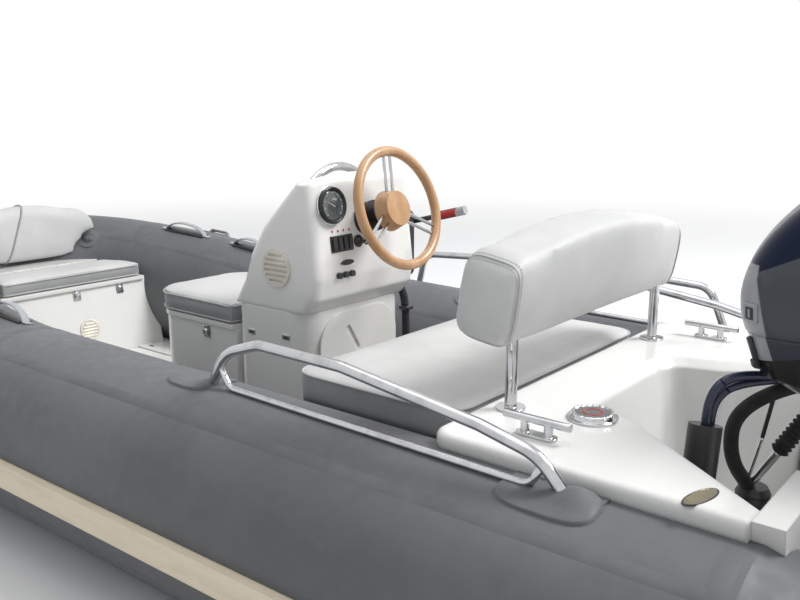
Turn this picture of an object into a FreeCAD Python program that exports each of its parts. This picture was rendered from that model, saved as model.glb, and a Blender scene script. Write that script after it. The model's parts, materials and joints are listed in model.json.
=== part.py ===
"""Rigid-hull inflatable boat, about 4.2 m, with console, seats and outboard engine.

Frame: +X forward, +Y port, +Z up, millimetres. The origin is on the waterline,
amidships, on the centreline.
"""
import math
import os

import FreeCAD
import Part

V = FreeCAD.Vector

# Floating collar
tube_radius = 262.0
transom_x = -1660.0
tube_stern_x = transom_x - 20.0
tube_stern_y = 587.68
tube_stern_z = 202.04
tube_side_run = 2080.04
tube_flare_deg = 1.66
tube_sheer_deg = 0.69
tube_lift_radius = 2400.0
tube_lift_deg = 6.0
tube_bow_radius = 2000.0
tube_bow_deg = 24.0
tube_nose_overrun = 10.0
cone_length = 430.0
cone_end_radius = 120.0
cone_cap = 26.0
strake_height = 66.0
strake_depth = 18.0
strake_drop = 8.0

# Clearances
seat_gap = 0.3
lid_gap = 0.4
lid_side_gap = 8.0
bow_cushion_gap = 18.0
locker_gap = 0.8

# Hull and decks
floor_z = 90.0
floor_thickness = 15.0
floor_half = 520.0
rail_y = tube_stern_y + 32.32
rail_radius = 12.5
deck_to_rail = 31.5
deck_z = 500.0
deck_half = rail_y - rail_radius - deck_to_rail
deck_front_x = -1040.0
deck_corner = 45.0
deck_edge = 14.0
transom_thickness = 52.0
transom_top_z = 308.0
transom_notch_half = 230.0
transom_wing_drop = 0.5
well_front_x = -1205.0
# Splash well rim on the port side: x behind the well's front, half width, corner radius
WELL_RIM = [(0.0, 215.0, 75.0), (-135.0, 250.0, 140.0)]
well_aft_half = 512.0
well_floor_z = 130.0
well_draft = 70.0
well_rim = 22.0
bench_front_x = -560.0
bench_half = 470.0
bench_top_z = 400.0
bow_locker_x = 1150.0
bow_locker_end_x = 1720.0
bow_locker_half = 310.0
bow_locker_z = 390.0
bow_locker_rake = 60.0
bow_step_x = 1445.0
bow_step_height = 70.0
bow_bay_half = 150.0
bow_bay_depth = 180.0

# Hull stations: x, keel z, chine half width, chine z, top half width, top z
HULL_STATIONS = [
    (transom_x, -210.0, 440.0, -40.0, 470.0, floor_z),
    (-500.0, -210.0, 462.0, -35.0, 490.0, floor_z),
    (400.0, -200.0, 470.0, -15.0, 500.0, floor_z),
    (800.0, -178.0, 440.0, 20.0, 470.0, floor_z),
    (1150.0, -130.0, 372.0, 55.0, 410.0, floor_z),
    (1450.0, -55.0, 272.0, 100.0, 310.0, 160.0),
    (1700.0, 60.0, 140.0, 165.0, 165.0, 220.0),
    (1840.0, 160.0, 45.0, 215.0, 55.0, 255.0),
]

# Seats
cushion_thickness = 100.0
cushion_back_x = deck_front_x + 12.0
cushion_front_x = bench_front_x + 40.0
cushion_half = bench_half - 10.0
cushion_corner = 60.0
cushion_tube_gap = 2.0
post_x = -1100.0
post_y = 365.0
post_radius = 13.0
post_flange_radius = 32.0
post_flange = 5.0
post_top_z = 690.0
backrest_half = 445.0
backrest_z0 = 642.0
backrest_z1 = 890.0
backrest_arch = 46.0
backrest_thickness = 130.0
backrest_low = (45.0, 38.0)
backrest_high = (90.0, 98.0)
backrest_forward = 46.0
backrest_lean_deg = 9.0
console_front_x = -30.0
pod_x0 = console_front_x + 2.0
pod_x1 = 385.0
pod_half = 200.0
pod_top_z = 462.0
pod_corner = 110.0
pod_wall = 50.0
lid_thickness = 16.0
pod_lid_overhang = 6.0
front_cushion_thickness = 66.0
front_cushion_overhang = 10.0
bow_cushion_thickness = 58.0
bow_pad_x = 1515.0
bow_pad_half = 322.0
bow_pad_z0 = 475.0
bow_pad_height = 250.0
bow_pad_thickness = 90.0
bow_pad_arch = 32.0
bow_pad_low = (95.0, 95.0)
bow_pad_high = (120.0, 115.0)
bow_pad_lean_deg = 10.0
hinge_radius = 6.0
hinge_pin_radius = 3.0
hinge_fit = 0.1
hinge_length = 60.0

# Console
console_half = 220.0
console_aft_x = -345.0
console_corner = 75.0
console_seam_z = 560.0
console_edge = 28.0
# Upper moulding in side view: x, z, from the aft seam round the dash to the front seam
CONSOLE_PROFILE = [
    (console_aft_x, console_seam_z), (-380.0, 600.0), (-390.0, 660.0), (-365.0, 860.0),
    (-357.0, 920.0), (-328.0, 943.0), (-240.0, 860.0), (-172.0, 794.0),
    (-118.0, 714.0), (-86.0, 632.0), (console_front_x - 8.0, console_seam_z),
]
console_crown = 900.0
dash_foot = V(-390.0, 0, 660.0)
dash_head = V(-365.0, 0, 860.0)
hatch_half = 168.0
hatch_low_z = 165.0
hatch_top_z = 545.0
hatch_corner = 95.0
hatch_thickness = 5.0
wheel_x = -500.0
wheel_z = 850.0
wheel_radius = 175.0
wheel_rim = 14.0
wheel_tilt_deg = 17.0
wheel_hub_radius = 58.0
wheel_hub_depth = 40.0
wheel_shaft_radius = 24.0
wheel_shaft_length = 48.0
helm_radius = 44.0
gauge_radius = 50.0
gauge_y = 135.0
gauge_up = 200.0
gauge_depth = 14.0
rocker_y = 105.0
rocker_up = 92.0
rocker_pitch = 21.0
louvre_x = -236.0
louvre_z = 681.0
louvre_radius = 55.0
louvre_slats = 6
remote_x = -305.0
remote_z = 705.0
remote_length = 84.0
remote_height = 210.0
remote_depth = 44.0
lever_length = 205.0
hoop_radius = 12.5
hoop_half = 155.0
hoop_x = -272.0
hoop_low_z = 838.0
hoop_high_z = 955.0

# Deck fittings
lower_rail_radius = 8.0
# Upper rail, x and height above the deck level, from the front foot to the aft foot
RAIL_PATH = [
    (-428.0, -32.0), (-480.0, 66.0), (-600.0, 106.0), (-850.0, 104.0), (-1190.0, 60.0),
    (-1316.0, 32.0), (-1378.0, -36.0),
]
rail_bend = 110.0
pad_thickness = 4.0
# Fabric pads under the rail feet: first x, last x, inner y, outer y, corner radius
RAIL_PADS = [(-440.0, -300.0, 520.0, 660.0, 55.0), (-1432.0, -1250.0, 520.0, 672.0, 64.0)]
side_hoop_y = -750.0
# Outer hoop on the starboard tube: x, z
SIDE_HOOP = [(12.0, 430.0), (-22.0, 572.0), (-600.0, 607.0), (-1118.0, 584.0), (-1186.0, 425.0)]
side_hoop_bend = 60.0
cleat_x = -1225.0
cleat_y = 472.0
cleat_length = 145.0
filler_x = -1263.0
filler_y = 311.0
filler_radius = 52.0
# Carry handles: distance along the collar from its stern, degrees outboard of the top
HANDLES = [(2230.04, 32.0), (2870.04, 32.0)]
handle_length = 150.0
handle_width = 90.0
strap_width = 24.0
strap_rise = 28.0
eye_hole_radius = 8.0
eye_radius = 22.0
eye_thickness = 10.0
stern_eye_y = 275.0
stern_eye_z = 150.0
stem_x = 1770.0
stem_z = 110.0

# Engine, its places measured from the tilt tube and the swivel tube
tilt_x = transom_x - 20.0
tilt_z = transom_top_z + 42.0
tilt_tube_radius = 14.0
tilt_fit = 0.1
clamp_y = 70.0
clamp_thickness = 18.0
clamp_foot_z = 60.0
barrel_half = 58.0
swivel_x = tilt_x - 122.0
swivel_radius = 34.0
swivel_low_z = 120.0
swivel_high_z = 400.0
steer_radius = 15.0
yoke_gap = 6.0
pan_low_z = 548.0
cowl_split_z = 690.0
cowl_joint = 1.0
# Cowl sections: z, front x and aft x from the swivel tube, half width, front and aft corners
PAN_SECTIONS = [
    (pan_low_z, 205.0, -205.0, 88.0, 50.0, 60.0),
    (600.0, 300.0, -268.0, 150.0, 70.0, 90.0),
    (cowl_split_z, 330.0, -290.0, 172.0, 75.0, 110.0),
]
COWL_SECTIONS = [
    (cowl_split_z + cowl_joint, 332.0, -292.0, 174.0, 75.0, 110.0),
    (810.0, 337.0, -300.0, 178.0, 78.0, 112.0),
    (905.0, 284.0, -290.0, 168.0, 80.0, 112.0),
    (985.0, 196.0, -250.0, 138.0, 76.0, 96.0),
    (1036.0, 90.0, -165.0, 78.0, 52.0, 60.0),
]
nose_bulge = 18.0
plate_z = -212.0
prop_z = -377.0
prop_radius = 145.0
prop_x = swivel_x - 298.0
prop_shaft_radius = 11.0
running_fit = 0.05
prop_gap = 3.0
gearcase_radius = 46.0
skeg_z = -455.0
hose_radius = 10.0
conduit_radius = 16.0
hose_gap = 0.4
sleeve_radius = 34.0
boot_rings = 5
boot_ring_height = 16.0

NODES = {}


def box(x0, x1, y0, y1, z0, z1):
    return Part.makeBox(x1 - x0, y1 - y0, z1 - z0, V(x0, y0, z0))


def prism(points, direction):
    """Extrude a closed outline of 3-D points."""
    return Part.Face(Part.makePolygon(points + [points[0]])).extrude(direction)


def mirror(shape):
    return shape.mirror(V(0, 0, 0), V(0, 1, 0))


def both(shape):
    return Part.makeCompound([shape, mirror(shape)])


def rod(start, end, radius):
    axis = end - start
    return Part.makeCylinder(radius, axis.Length, start, axis)


def biggest(shape):
    return max(shape.Solids, key=lambda s: s.Volume)


def fillet_where(shape, radius, test):
    return shape.makeFillet(radius, [e for e in shape.Edges if test(e)])


def is_vertical(edge):
    a, b = edge.Vertexes[0].Point, edge.Vertexes[-1].Point
    return (b - a).Length > 1 and abs((b - a).z) > 0.999 * (b - a).Length


def at_height(edge, z):
    return all(abs(v.Point.z - z) < 0.01 for v in edge.Vertexes)


def bent_rod(points, radius, bend):
    """A round bar through the points, with a tangent arc of radius bend at each corner."""
    edges, at = [], points[0]
    for before, corner, after in zip(points, points[1:], points[2:]):
        into, out = (corner - before).normalize(), (after - corner).normalize()
        turn = into.getAngle(out)
        cut = bend * math.tan(turn / 2)
        start, end = corner - into * cut, corner + out * cut
        middle = corner + (out - into).normalize() * (bend / math.cos(turn / 2) - bend)
        edges += [Part.LineSegment(at, start).toShape(), Part.Arc(start, middle, end).toShape()]
        at = end
    edges.append(Part.LineSegment(at, points[-1]).toShape())
    circle = Part.Wire(Part.makeCircle(radius, points[0], points[1] - points[0]))
    solid = Part.Wire(edges).makePipeShell([circle], True, True)
    return solid if solid.Volume > 0 else solid.reversed()


class Course:
    """A port-side line of straight runs and arcs that carries an outline along it."""

    def __init__(self, at, ahead, out, up):
        self.at, self.ahead, self.out, self.up = at, ahead, out, up

    def face(self, outline):
        """outline: a face drawn in the plane x = outboard, y = up."""
        placed = outline.copy()
        placed.Placement = self.placement()
        return placed

    def placement(self):
        return FreeCAD.Placement(FreeCAD.Matrix(
            self.out.x, self.up.x, self.ahead.x, self.at.x,
            self.out.y, self.up.y, self.ahead.y, self.at.y,
            self.out.z, self.up.z, self.ahead.z, self.at.z))

    def slide(self, length):
        self.at = self.at + self.ahead * length

    def swing(self, centre, axis, degrees):
        turn = FreeCAD.Rotation(axis, degrees)
        self.at = centre + turn.multVec(self.at - centre)
        self.ahead, self.out, self.up = [turn.multVec(v) for v in (self.ahead, self.out, self.up)]

    def pivot(self, kind, radius):
        """Centre and axis of an arc that lifts the bow or turns it inboard."""
        if kind == "lift":
            return self.at + self.up * radius, -self.out
        return self.at - self.out * radius, -self.up

    def sweep(self, outline, kind, size, degrees):
        face = self.face(outline)
        if kind == "run":
            self.slide(size)
            return face.extrude(self.ahead * size)
        centre, axis = self.pivot(kind, size)
        self.swing(centre, axis, degrees)
        return face.revolve(centre, axis, degrees)


def collar_start():
    flare, sheer = math.radians(tube_flare_deg), math.radians(tube_sheer_deg)
    ahead = V(math.cos(flare) * math.cos(sheer), math.sin(flare) * math.cos(sheer), math.sin(sheer))
    out = V(-math.sin(flare), math.cos(flare), 0)
    return Course(V(tube_stern_x, tube_stern_y, tube_stern_z), ahead, out, ahead.cross(out))


def collar_nose_radius():
    """Radius of the last bow arc, so that the course ends on the centreline."""
    flare, bow = math.radians(tube_flare_deg), math.radians(tube_bow_deg)
    straight = tube_side_run + tube_lift_radius * math.radians(tube_lift_deg)
    y = tube_stern_y + straight * math.sin(flare)
    return (y - tube_bow_radius * (math.cos(flare) - math.cos(bow))) / math.cos(bow)


# Legs of the collar from stern to stem: kind, length or radius, degrees
COLLAR = [
    ("run", tube_side_run, 0.0),
    ("lift", tube_lift_radius, tube_lift_deg),
    ("turn", tube_bow_radius, tube_bow_deg + tube_flare_deg),
    ("turn", collar_nose_radius(), 90.0 - tube_bow_deg),
    ("run", tube_nose_overrun, 0.0),
]
far = 4 * tube_side_run


def collar(outline):
    """The outline carried along the port side: the side run, then the bow half."""
    course = collar_start()
    side, *bow = [course.sweep(outline, *leg) for leg in COLLAR]
    nose = bow[0].multiFuse(bow[1:])
    return side, nose.cut(box(0, far, -far, 0, -far, far))


def collar_at(distance):
    """The course at a distance from the stern, measured along the collar."""
    course = collar_start()
    for kind, size, degrees in COLLAR:
        length = size if kind == "run" else size * math.radians(degrees)
        part = min(distance, length)
        if kind == "run":
            course.slide(part)
        else:
            course.swing(*course.pivot(kind, size), math.degrees(part / size))
        distance -= part
    return course


def disc(radius):
    return Part.Face(Part.Wire(Part.makeCircle(radius)))


def ring_sector(inner, outer, low, high):
    """Outline outside a circle, between two heights, on the outboard side."""
    corners = [V(0, low, 0), V(outer, low, 0), V(outer, high, 0), V(0, high, 0), V(0, low, 0)]
    return Part.Face(Part.makePolygon(corners)).cut(disc(inner)).Faces[0]


def cone(radius, grow=0.0):
    start = collar_start()
    profile = [V(0, 0, 0), V(radius, 0, 0), V(cone_end_radius + grow, cone_length, 0),
               V(cone_end_radius * 0.72, cone_length + cone_cap + grow, 0),
               V(0, cone_length + cone_cap * 1.5 + grow, 0), V(0, 0, 0)]
    solid = Part.Face(Part.makePolygon(profile)).revolve(V(0, 0, 0), V(0, 1, 0), 360)
    solid.Placement = FreeCAD.Placement(start.at, FreeCAD.Rotation(V(0, 1, 0), -start.ahead))
    return solid


def tubes(margin):
    """All six lengths of the collar, grown by a margin."""
    side, bow = collar(disc(tube_radius + margin))
    port = [side, bow, cone(tube_radius + margin, margin)]
    return port + [mirror(shape) for shape in port]


TUBES = tubes(0.0)
NODES["tube_sides"] = Part.makeCompound([TUBES[0], TUBES[3]])
NODES["tube_bows"] = Part.makeCompound([TUBES[1], TUBES[4]])
NODES["tube_cones"] = Part.makeCompound([TUBES[2], TUBES[5]])

strake_outline = ring_sector(tube_radius, tube_radius + strake_depth,
                             -strake_drop - strake_height / 2, -strake_drop + strake_height / 2)
strake_side, strake_bow = collar(strake_outline)
NODES["rub_strakes"] = both(strake_side.fuse(strake_bow).removeSplitter())


# Hull
def hull_section(x, keel_z, chine_y, chine_z, top_y, top_z):
    ring = [V(x, 0, keel_z), V(x, chine_y, chine_z), V(x, top_y, top_z), V(x, -top_y, top_z),
            V(x, -chine_y, chine_z), V(x, 0, keel_z)]
    return Part.makePolygon(ring)


hull = Part.makeLoft([hull_section(*row) for row in HULL_STATIONS], True, True)
NODES["hull"] = biggest(hull.cut(TUBES))

x, keel_z, chine_y, chine_z, top_y, top_z = HULL_STATIONS[0]
wing_z = deck_z - transom_wing_drop
board = [V(x, 0, keel_z), V(x, chine_y, chine_z), V(x, top_y, top_z), V(x, deck_half - 6, wing_z),
         V(x, transom_notch_half + 90, wing_z), V(x, transom_notch_half + 40, transom_top_z + 30),
         V(x, transom_notch_half, transom_top_z)]
board += [V(p.x, -p.y, p.z) for p in reversed(board) if p.y > 0]
NODES["transom"] = biggest(prism(board, V(-transom_thickness, 0, 0)).cut(TUBES))

liner = prism([V(row[0], row[4], floor_z - 40) for row in HULL_STATIONS] +
              [V(row[0], -row[4], floor_z - 40) for row in reversed(HULL_STATIONS)], V(0, 0, far))
floor_board = box(deck_front_x, bow_locker_x + 150, -floor_half, floor_half, floor_z,
                  floor_z + floor_thickness)
floor_board = floor_board.common(liner).cut(TUBES).cut(NODES["hull"])
NODES["cockpit_floor"] = biggest(floor_board)


# Aft deck with its splash well
def rounded(points, radii):
    """Closed outline with an arc at each corner; radius 0 leaves the corner sharp."""
    edges, count = [], len(points)
    cuts = []
    for i, (corner, radius) in enumerate(zip(points, radii)):
        into, out = (corner - points[i - 1]).normalize(), (points[(i + 1) % count] - corner).normalize()
        turn = into.getAngle(out)
        cut = radius * math.tan(turn / 2)
        middle = corner + (out - into).normalize() * (radius / math.cos(turn / 2) - radius)
        cuts.append((corner - into * cut, middle, corner + out * cut, radius > 0))
    for i, (start, middle, end, arc) in enumerate(cuts):
        if arc:
            edges.append(Part.Arc(start, middle, end).toShape())
        edges.append(Part.LineSegment(end, cuts[(i + 1) % count][0]).toShape())
    return Part.Wire(edges)


def well_outline(inset, z):
    """The splash well's outline at height z, drawn in from its rim."""
    port = [V(well_front_x + dx - inset / (1 + k), y - inset, z) for k, (dx, y, _) in enumerate(WELL_RIM)]
    port.append(V(transom_x - 10, well_aft_half - inset, z))
    radii = [radius for _, _, radius in WELL_RIM] + [0.0]
    return rounded(port + [V(p.x, -p.y, p.z) for p in reversed(port)], radii + radii[::-1])


deck = box(transom_x, deck_front_x, -deck_half, deck_half, floor_z, deck_z)
deck = fillet_where(deck, deck_corner, lambda e: is_vertical(e) and e.CenterOfMass.x > deck_front_x - 1)
deck = fillet_where(deck, deck_edge, lambda e: at_height(e, deck_z) and e.CenterOfMass.x > transom_x + 1)
well = Part.makeLoft([well_outline(well_draft, well_floor_z), well_outline(0, deck_z - well_rim),
                      well_outline(-well_rim, deck_z + 1)], True, True)
NODES["aft_deck"] = biggest(deck.cut(well).cut(TUBES))

bench = box(deck_front_x, bench_front_x, -bench_half, bench_half, floor_z + floor_thickness, bench_top_z)
bench = fillet_where(bench, 30.0, lambda e: is_vertical(e) and e.CenterOfMass.x > bench_front_x - 1)
NODES["bench_locker"] = biggest(bench.cut(TUBES))

# Bow locker, open on top under its lid, with a step under the pad
top = bow_locker_z
locker_side = [(bow_locker_x, floor_z), (bow_locker_end_x, floor_z), (bow_locker_end_x, top + bow_step_height),
               (bow_step_x, top + bow_step_height), (bow_step_x, top), (bow_locker_x + bow_locker_rake, top)]
locker = prism([V(px, -bow_locker_half - 60, pz) for px, pz in locker_side],
               V(0, 2 * bow_locker_half + 120, 0))
raised_hull = NODES["hull"].copy()
raised_hull.translate(V(0, 0, locker_gap))
locker = locker.common(liner).cut(tubes(locker_gap)).cut(raised_hull).cut(NODES["cockpit_floor"])
bay = box(bow_locker_x + bow_locker_rake + 40, bow_step_x - 40, -bow_bay_half, bow_bay_half,
          bow_locker_z - bow_bay_depth, top + 1)
locker = biggest(locker).cut(bay)


def pad(half, height, thickness, arch, low, high):
    """Upright pad in the YZ plane, back at x = 0; low and high are its corners' widths and heights."""
    a, b = V(0, -half, low[1]), V(0, low[0] - half, 0)
    g, h = V(0, half - high[0], height - arch), V(0, 0, height)
    d, e, f = V(0, -b.y, 0), V(0, half, low[1]), V(0, half, height - high[1])
    i, j = V(0, -g.y, g.z), V(0, -half, f.z)

    def corner_arc(p, q, away_y, away_z):
        reach = V(0, away_y * abs(p.y - q.y), away_z * abs(p.z - q.z)) * 0.2
        return Part.Arc(p, (p + q) * 0.5 + reach, q).toShape()

    edges = [corner_arc(a, b, -1, -1), Part.LineSegment(b, d).toShape(), corner_arc(d, e, 1, -1),
             Part.LineSegment(e, f).toShape(), corner_arc(f, g, 1, 1), Part.Arc(g, h, i).toShape(),
             corner_arc(i, j, -1, 1), Part.LineSegment(j, a).toShape()]
    return Part.Face(Part.Wire(edges)).extrude(V(thickness, 0, 0))


bow_pad = pad(bow_pad_half, bow_pad_height, bow_pad_thickness, bow_pad_arch, bow_pad_low, bow_pad_high)
bow_pad.rotate(V(0, 0, 0), V(0, 1, 0), bow_pad_lean_deg)
bow_pad.translate(V(bow_pad_x, 0, bow_pad_z0))
NODES["bow_pad"] = biggest(bow_pad.cut(TUBES))
NODES["bow_locker"] = biggest(locker.cut(NODES["bow_pad"]))

# Bow lid and its cushion, hinged on the step
margin = tubes(lid_side_gap)
lid_x0, lid_x1 = bow_locker_x + bow_locker_rake - 14, bow_step_x - 30
lid_z = bow_locker_z + lid_gap
bow_hinge = V(bow_step_x - 15, 0, top + bow_step_height - 10)
bow_lid = biggest(box(lid_x0, lid_x1, -bow_locker_half - 10, bow_locker_half + 10, lid_z,
                      lid_z + lid_thickness).cut(margin))
cushion_z = lid_z + lid_thickness + seat_gap
bow_cushion = box(lid_x0 + 6, lid_x1 - 8, -bow_locker_half, bow_locker_half, cushion_z,
                  cushion_z + bow_cushion_thickness)
NODES["bow_cushion"] = biggest(bow_cushion.cut(tubes(bow_cushion_gap)))


def hinge_set(centre, axis, inward, lug):
    """A knuckle for the lid with its leaf reaching inward, and a pin on two lugs of a given outline."""
    half = axis * (hinge_length / 2)
    knuckle = rod(centre - half, centre + half, hinge_radius)
    leaf = prism([centre - half, centre - half + inward, centre + half + inward, centre + half],
                 inward.cross(axis).normalize() * 4)
    bore = rod(centre - half * 2, centre + half * 2, hinge_pin_radius + hinge_fit)
    lugs = rod(centre - half * 1.3, centre + half * 1.3, hinge_pin_radius)
    for side in (-1, 1):
        foot = centre + half * side * 1.15
        width = axis * (hinge_length * 0.07 * side)
        lugs = lugs.fuse(prism([foot + p for p in lug], width)).fuse(rod(foot, foot + width, hinge_radius))
    return knuckle.fuse(leaf).cut(bore), lugs


hinges = []
leaf = V(lid_x1 - bow_hinge.x, 0, lid_z + lid_thickness - bow_hinge.z)
reach = bow_step_x - bow_hinge.x
bow_lug = [V(0, 0, -hinge_radius), V(reach, 0, -hinge_radius), V(reach, 0, hinge_radius), V(0, 0, hinge_radius)]
for y in (-90.0, 90.0):
    knuckle, lugs = hinge_set(bow_hinge + V(0, y, 0), V(0, 1, 0), leaf, bow_lug)
    bow_lid = bow_lid.fuse(knuckle)
    hinges.append(lugs)
NODES["bow_locker_lid"] = bow_lid

# Rear bench cushion and backrest
cushion = box(cushion_back_x, cushion_front_x, -cushion_half, cushion_half, bench_top_z + seat_gap,
              bench_top_z + seat_gap + cushion_thickness)
cushion = fillet_where(cushion, cushion_corner, is_vertical)
NODES["bench_cushion"] = biggest(cushion.cut(tubes(cushion_tube_gap)))

backrest = pad(backrest_half, backrest_z1 - backrest_z0, backrest_thickness, backrest_arch, backrest_low,
               backrest_high)
backrest.translate(V(-backrest_thickness / 2, 0, 0))
backrest.rotate(V(0, 0, 0), V(0, 1, 0), -backrest_lean_deg)
backrest.translate(V(post_x + backrest_forward, 0, backrest_z0))
post = rod(V(post_x, post_y, deck_z), V(post_x, post_y, post_top_z), post_radius)
post = post.fuse(rod(V(post_x, post_y, deck_z), V(post_x, post_y, deck_z + post_flange), post_flange_radius))
NODES["backrest_posts"] = both(post)
NODES["backrest_pad"] = backrest.cut(NODES["backrest_posts"])

# Console base and upper moulding
base = box(console_aft_x, console_front_x, -console_half, console_half, floor_z + floor_thickness,
           console_seam_z)
NODES["console_base"] = fillet_where(base, console_corner, is_vertical)
upper = prism([V(px, -console_half, pz) for px, pz in CONSOLE_PROFILE], V(0, 2 * console_half, 0))
upper = fillet_where(
    upper, console_edge,
    lambda e: abs(abs(e.CenterOfMass.y) - console_half) < 1 and e.CenterOfMass.z > console_seam_z + 1)
crown_z = max(pz for _, pz in CONSOLE_PROFILE) - console_crown
crown = rod(V(console_aft_x - 100, 0, crown_z), V(console_front_x + 100, 0, crown_z), console_crown)
NODES["console_top"] = biggest(upper.common(crown))

hatch = box(console_aft_x - hatch_thickness, console_aft_x, -hatch_half, hatch_half, hatch_low_z, hatch_top_z)
hatch = fillet_where(hatch, hatch_corner, lambda e: abs(e.CenterOfMass.z - hatch_top_z) < 1
                     and e.Length < hatch_thickness * 1.1)
pull = box(-12, 12, -9, 9, -45, 45)
pull = fillet_where(pull, 8.5, lambda e: abs(e.Length - 24) < 0.1)
pull.rotate(V(0, 0, 0), V(1, 0, 0), -32)
pull.translate(V(console_aft_x, 30, hatch_top_z - 85))
NODES["console_hatch"] = hatch.cut(pull)

# Dash: gauge, rocker switches and buttons, all square to the sloped panel
dash_up = (dash_head - dash_foot).normalize()
dash_out = V(-dash_up.z, 0, dash_up.x)


def on_dash(y, up, out=0.0):
    return dash_foot + dash_up * up + dash_out * out + V(0, y, 0)


gauge = rod(on_dash(gauge_y, gauge_up, -gauge_depth), on_dash(gauge_y, gauge_up, gauge_depth), gauge_radius)
dial = rod(on_dash(gauge_y, gauge_up, gauge_depth - 4), on_dash(gauge_y, gauge_up, gauge_depth + 1),
           gauge_radius - 7)
NODES["gauge"] = gauge.cut(dial).cut(NODES["console_top"])


def dash_block(y, up, width, height, depth):
    corner = on_dash(y - width / 2, up - height / 2)
    pts = [corner, corner + V(0, width, 0), corner + V(0, width, 0) + dash_up * height,
           corner + dash_up * height]
    return prism(pts, dash_out * depth)


switches = dash_block(rocker_y, rocker_up, rocker_pitch * 4 + 4, 46, 3)
for k in range(4):
    across = rocker_y + (k - 1.5) * rocker_pitch
    switches = switches.fuse(dash_block(across, rocker_up, rocker_pitch - 6, 34, 9))
for k in range(3):
    y = rocker_y + (k - 1) * 26
    switches = switches.fuse(rod(on_dash(y, 4, -10), on_dash(y, 4, 10), 9.0).cut(NODES["console_top"]))
NODES["switch_panel"] = switches.cut(NODES["gauge"])

louvre = rod(V(louvre_x, console_half, louvre_z), V(louvre_x, console_half + 6, louvre_z), louvre_radius)
pitch = 2 * (louvre_radius - 12) / louvre_slats
for k in range(louvre_slats):
    z = louvre_z + (k - (louvre_slats - 1) / 2) * pitch
    half = math.sqrt((louvre_radius - 8) ** 2 - (abs(z - louvre_z) + 3) ** 2)
    slot = box(louvre_x - half, louvre_x + half, console_half + 1.5, console_half + 9, z - 3.5, z + 3.5)
    slot.rotate(V(louvre_x, console_half + 6, z), V(1, 0, 0), -25)
    louvre = louvre.cut(slot)
NODES["vent_louvre"] = louvre

remote = box(remote_x - remote_length / 2, remote_x + remote_length / 2, -console_half - remote_depth,
             -console_half, remote_z - remote_height / 2, remote_z + remote_height / 2)
remote = fillet_where(remote, 24.0, lambda e: abs(e.Length - remote_depth) < 0.1)
NODES["remote_box"] = remote
lever_foot = V(remote_x - 10, -console_half - remote_depth, remote_z + 62)
lever_elbow = lever_foot + V(0, -16, 0)
lever_dir = V(-0.95, -0.12, 0.24).normalize()
lever = rod(lever_foot, lever_elbow, 22.0)
lever = lever.fuse(rod(lever_elbow + V(0, 6, 0), lever_elbow + V(0, 6, 0) + lever_dir * lever_length, 8.0))
grip_end = lever_elbow + V(0, 6, 0) + lever_dir * lever_length
lever = lever.fuse(rod(grip_end - lever_dir * 92, grip_end + lever_dir * 4, 14.0))
NODES["throttle_lever"] = lever.cut(box(remote_x - 200, remote_x + 100, -console_half - remote_depth,
                                        0, 0, deck_z * 2))

hoop_arc = Part.Arc(V(hoop_x, hoop_half, hoop_low_z), V(hoop_x, 0, hoop_high_z),
                    V(hoop_x, -hoop_half, hoop_low_z))
hoop_legs = [Part.LineSegment(V(hoop_x, y, console_seam_z + 200), V(hoop_x, y, hoop_low_z)).toShape()
             for y in (hoop_half, -hoop_half)]
hoop_ring = Part.Wire(Part.makeCircle(hoop_radius, hoop_legs[0].Vertexes[0].Point, V(0, 0, 1)))
hoop = Part.Wire([hoop_legs[0], hoop_arc.toShape(), hoop_legs[1]]).makePipeShell([hoop_ring], True, True)
NODES["console_hoop"] = biggest(hoop.cut(NODES["console_top"]))

# Front seat pod with a lid hinged on its starboard edge


def pod_front(edge):
    return is_vertical(edge) and edge.CenterOfMass.x > pod_x1 - 1


pod = box(pod_x0, pod_x1, -pod_half, pod_half, floor_z + floor_thickness, pod_top_z)
pod = fillet_where(pod, pod_corner, pod_front)
NODES["seat_pod"] = pod.cut(box(pod_x0 + 40, pod_x1 - 70, -pod_half + pod_wall, pod_half - pod_wall,
                                floor_z + 60, pod_top_z + 1))
lid_low = pod_top_z + lid_gap
lid_half = pod_half + pod_lid_overhang
seat_lid = box(pod_x0 + 8, pod_x1 + 0.5, -lid_half, lid_half, lid_low, lid_low + lid_thickness)
seat_lid = fillet_where(seat_lid, pod_corner, pod_front)
pod_hinge = V((pod_x0 + pod_x1) / 2, -lid_half - hinge_radius - 1, lid_low + lid_thickness / 2)
wall = -pod_half - pod_hinge.y
drop = pod_hinge.z - pod_top_z + 4
pod_lug = [V(0, -hinge_radius, 0), V(0, hinge_radius, 0), V(0, hinge_radius, -drop), V(0, wall, -drop),
           V(0, wall, -drop - 22), V(0, 2, -drop - 22), V(0, -hinge_radius, -drop - 8)]
for x in (-95.0, 75.0):
    knuckle, lugs = hinge_set(pod_hinge + V(x, 0, 0), V(1, 0, 0), V(0, hinge_radius + 4, 0), pod_lug)
    seat_lid = seat_lid.fuse(knuckle)
    hinges.append(lugs.cut(NODES["seat_pod"]))
NODES["seat_lid"] = seat_lid
NODES["lid_hinges"] = Part.makeCompound([piece.cut(NODES["bow_locker"]) for piece in hinges])
seat_low = lid_low + lid_thickness + seat_gap
seat_half = pod_half + front_cushion_overhang
front_cushion = box(pod_x0 + 10, pod_x1 + 10, -pod_half, seat_half,
                    seat_low, seat_low + front_cushion_thickness)
NODES["front_cushion"] = fillet_where(front_cushion, pod_corner,
                                      lambda e: is_vertical(e) and e.CenterOfMass.x > pod_x1 + 9)


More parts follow.
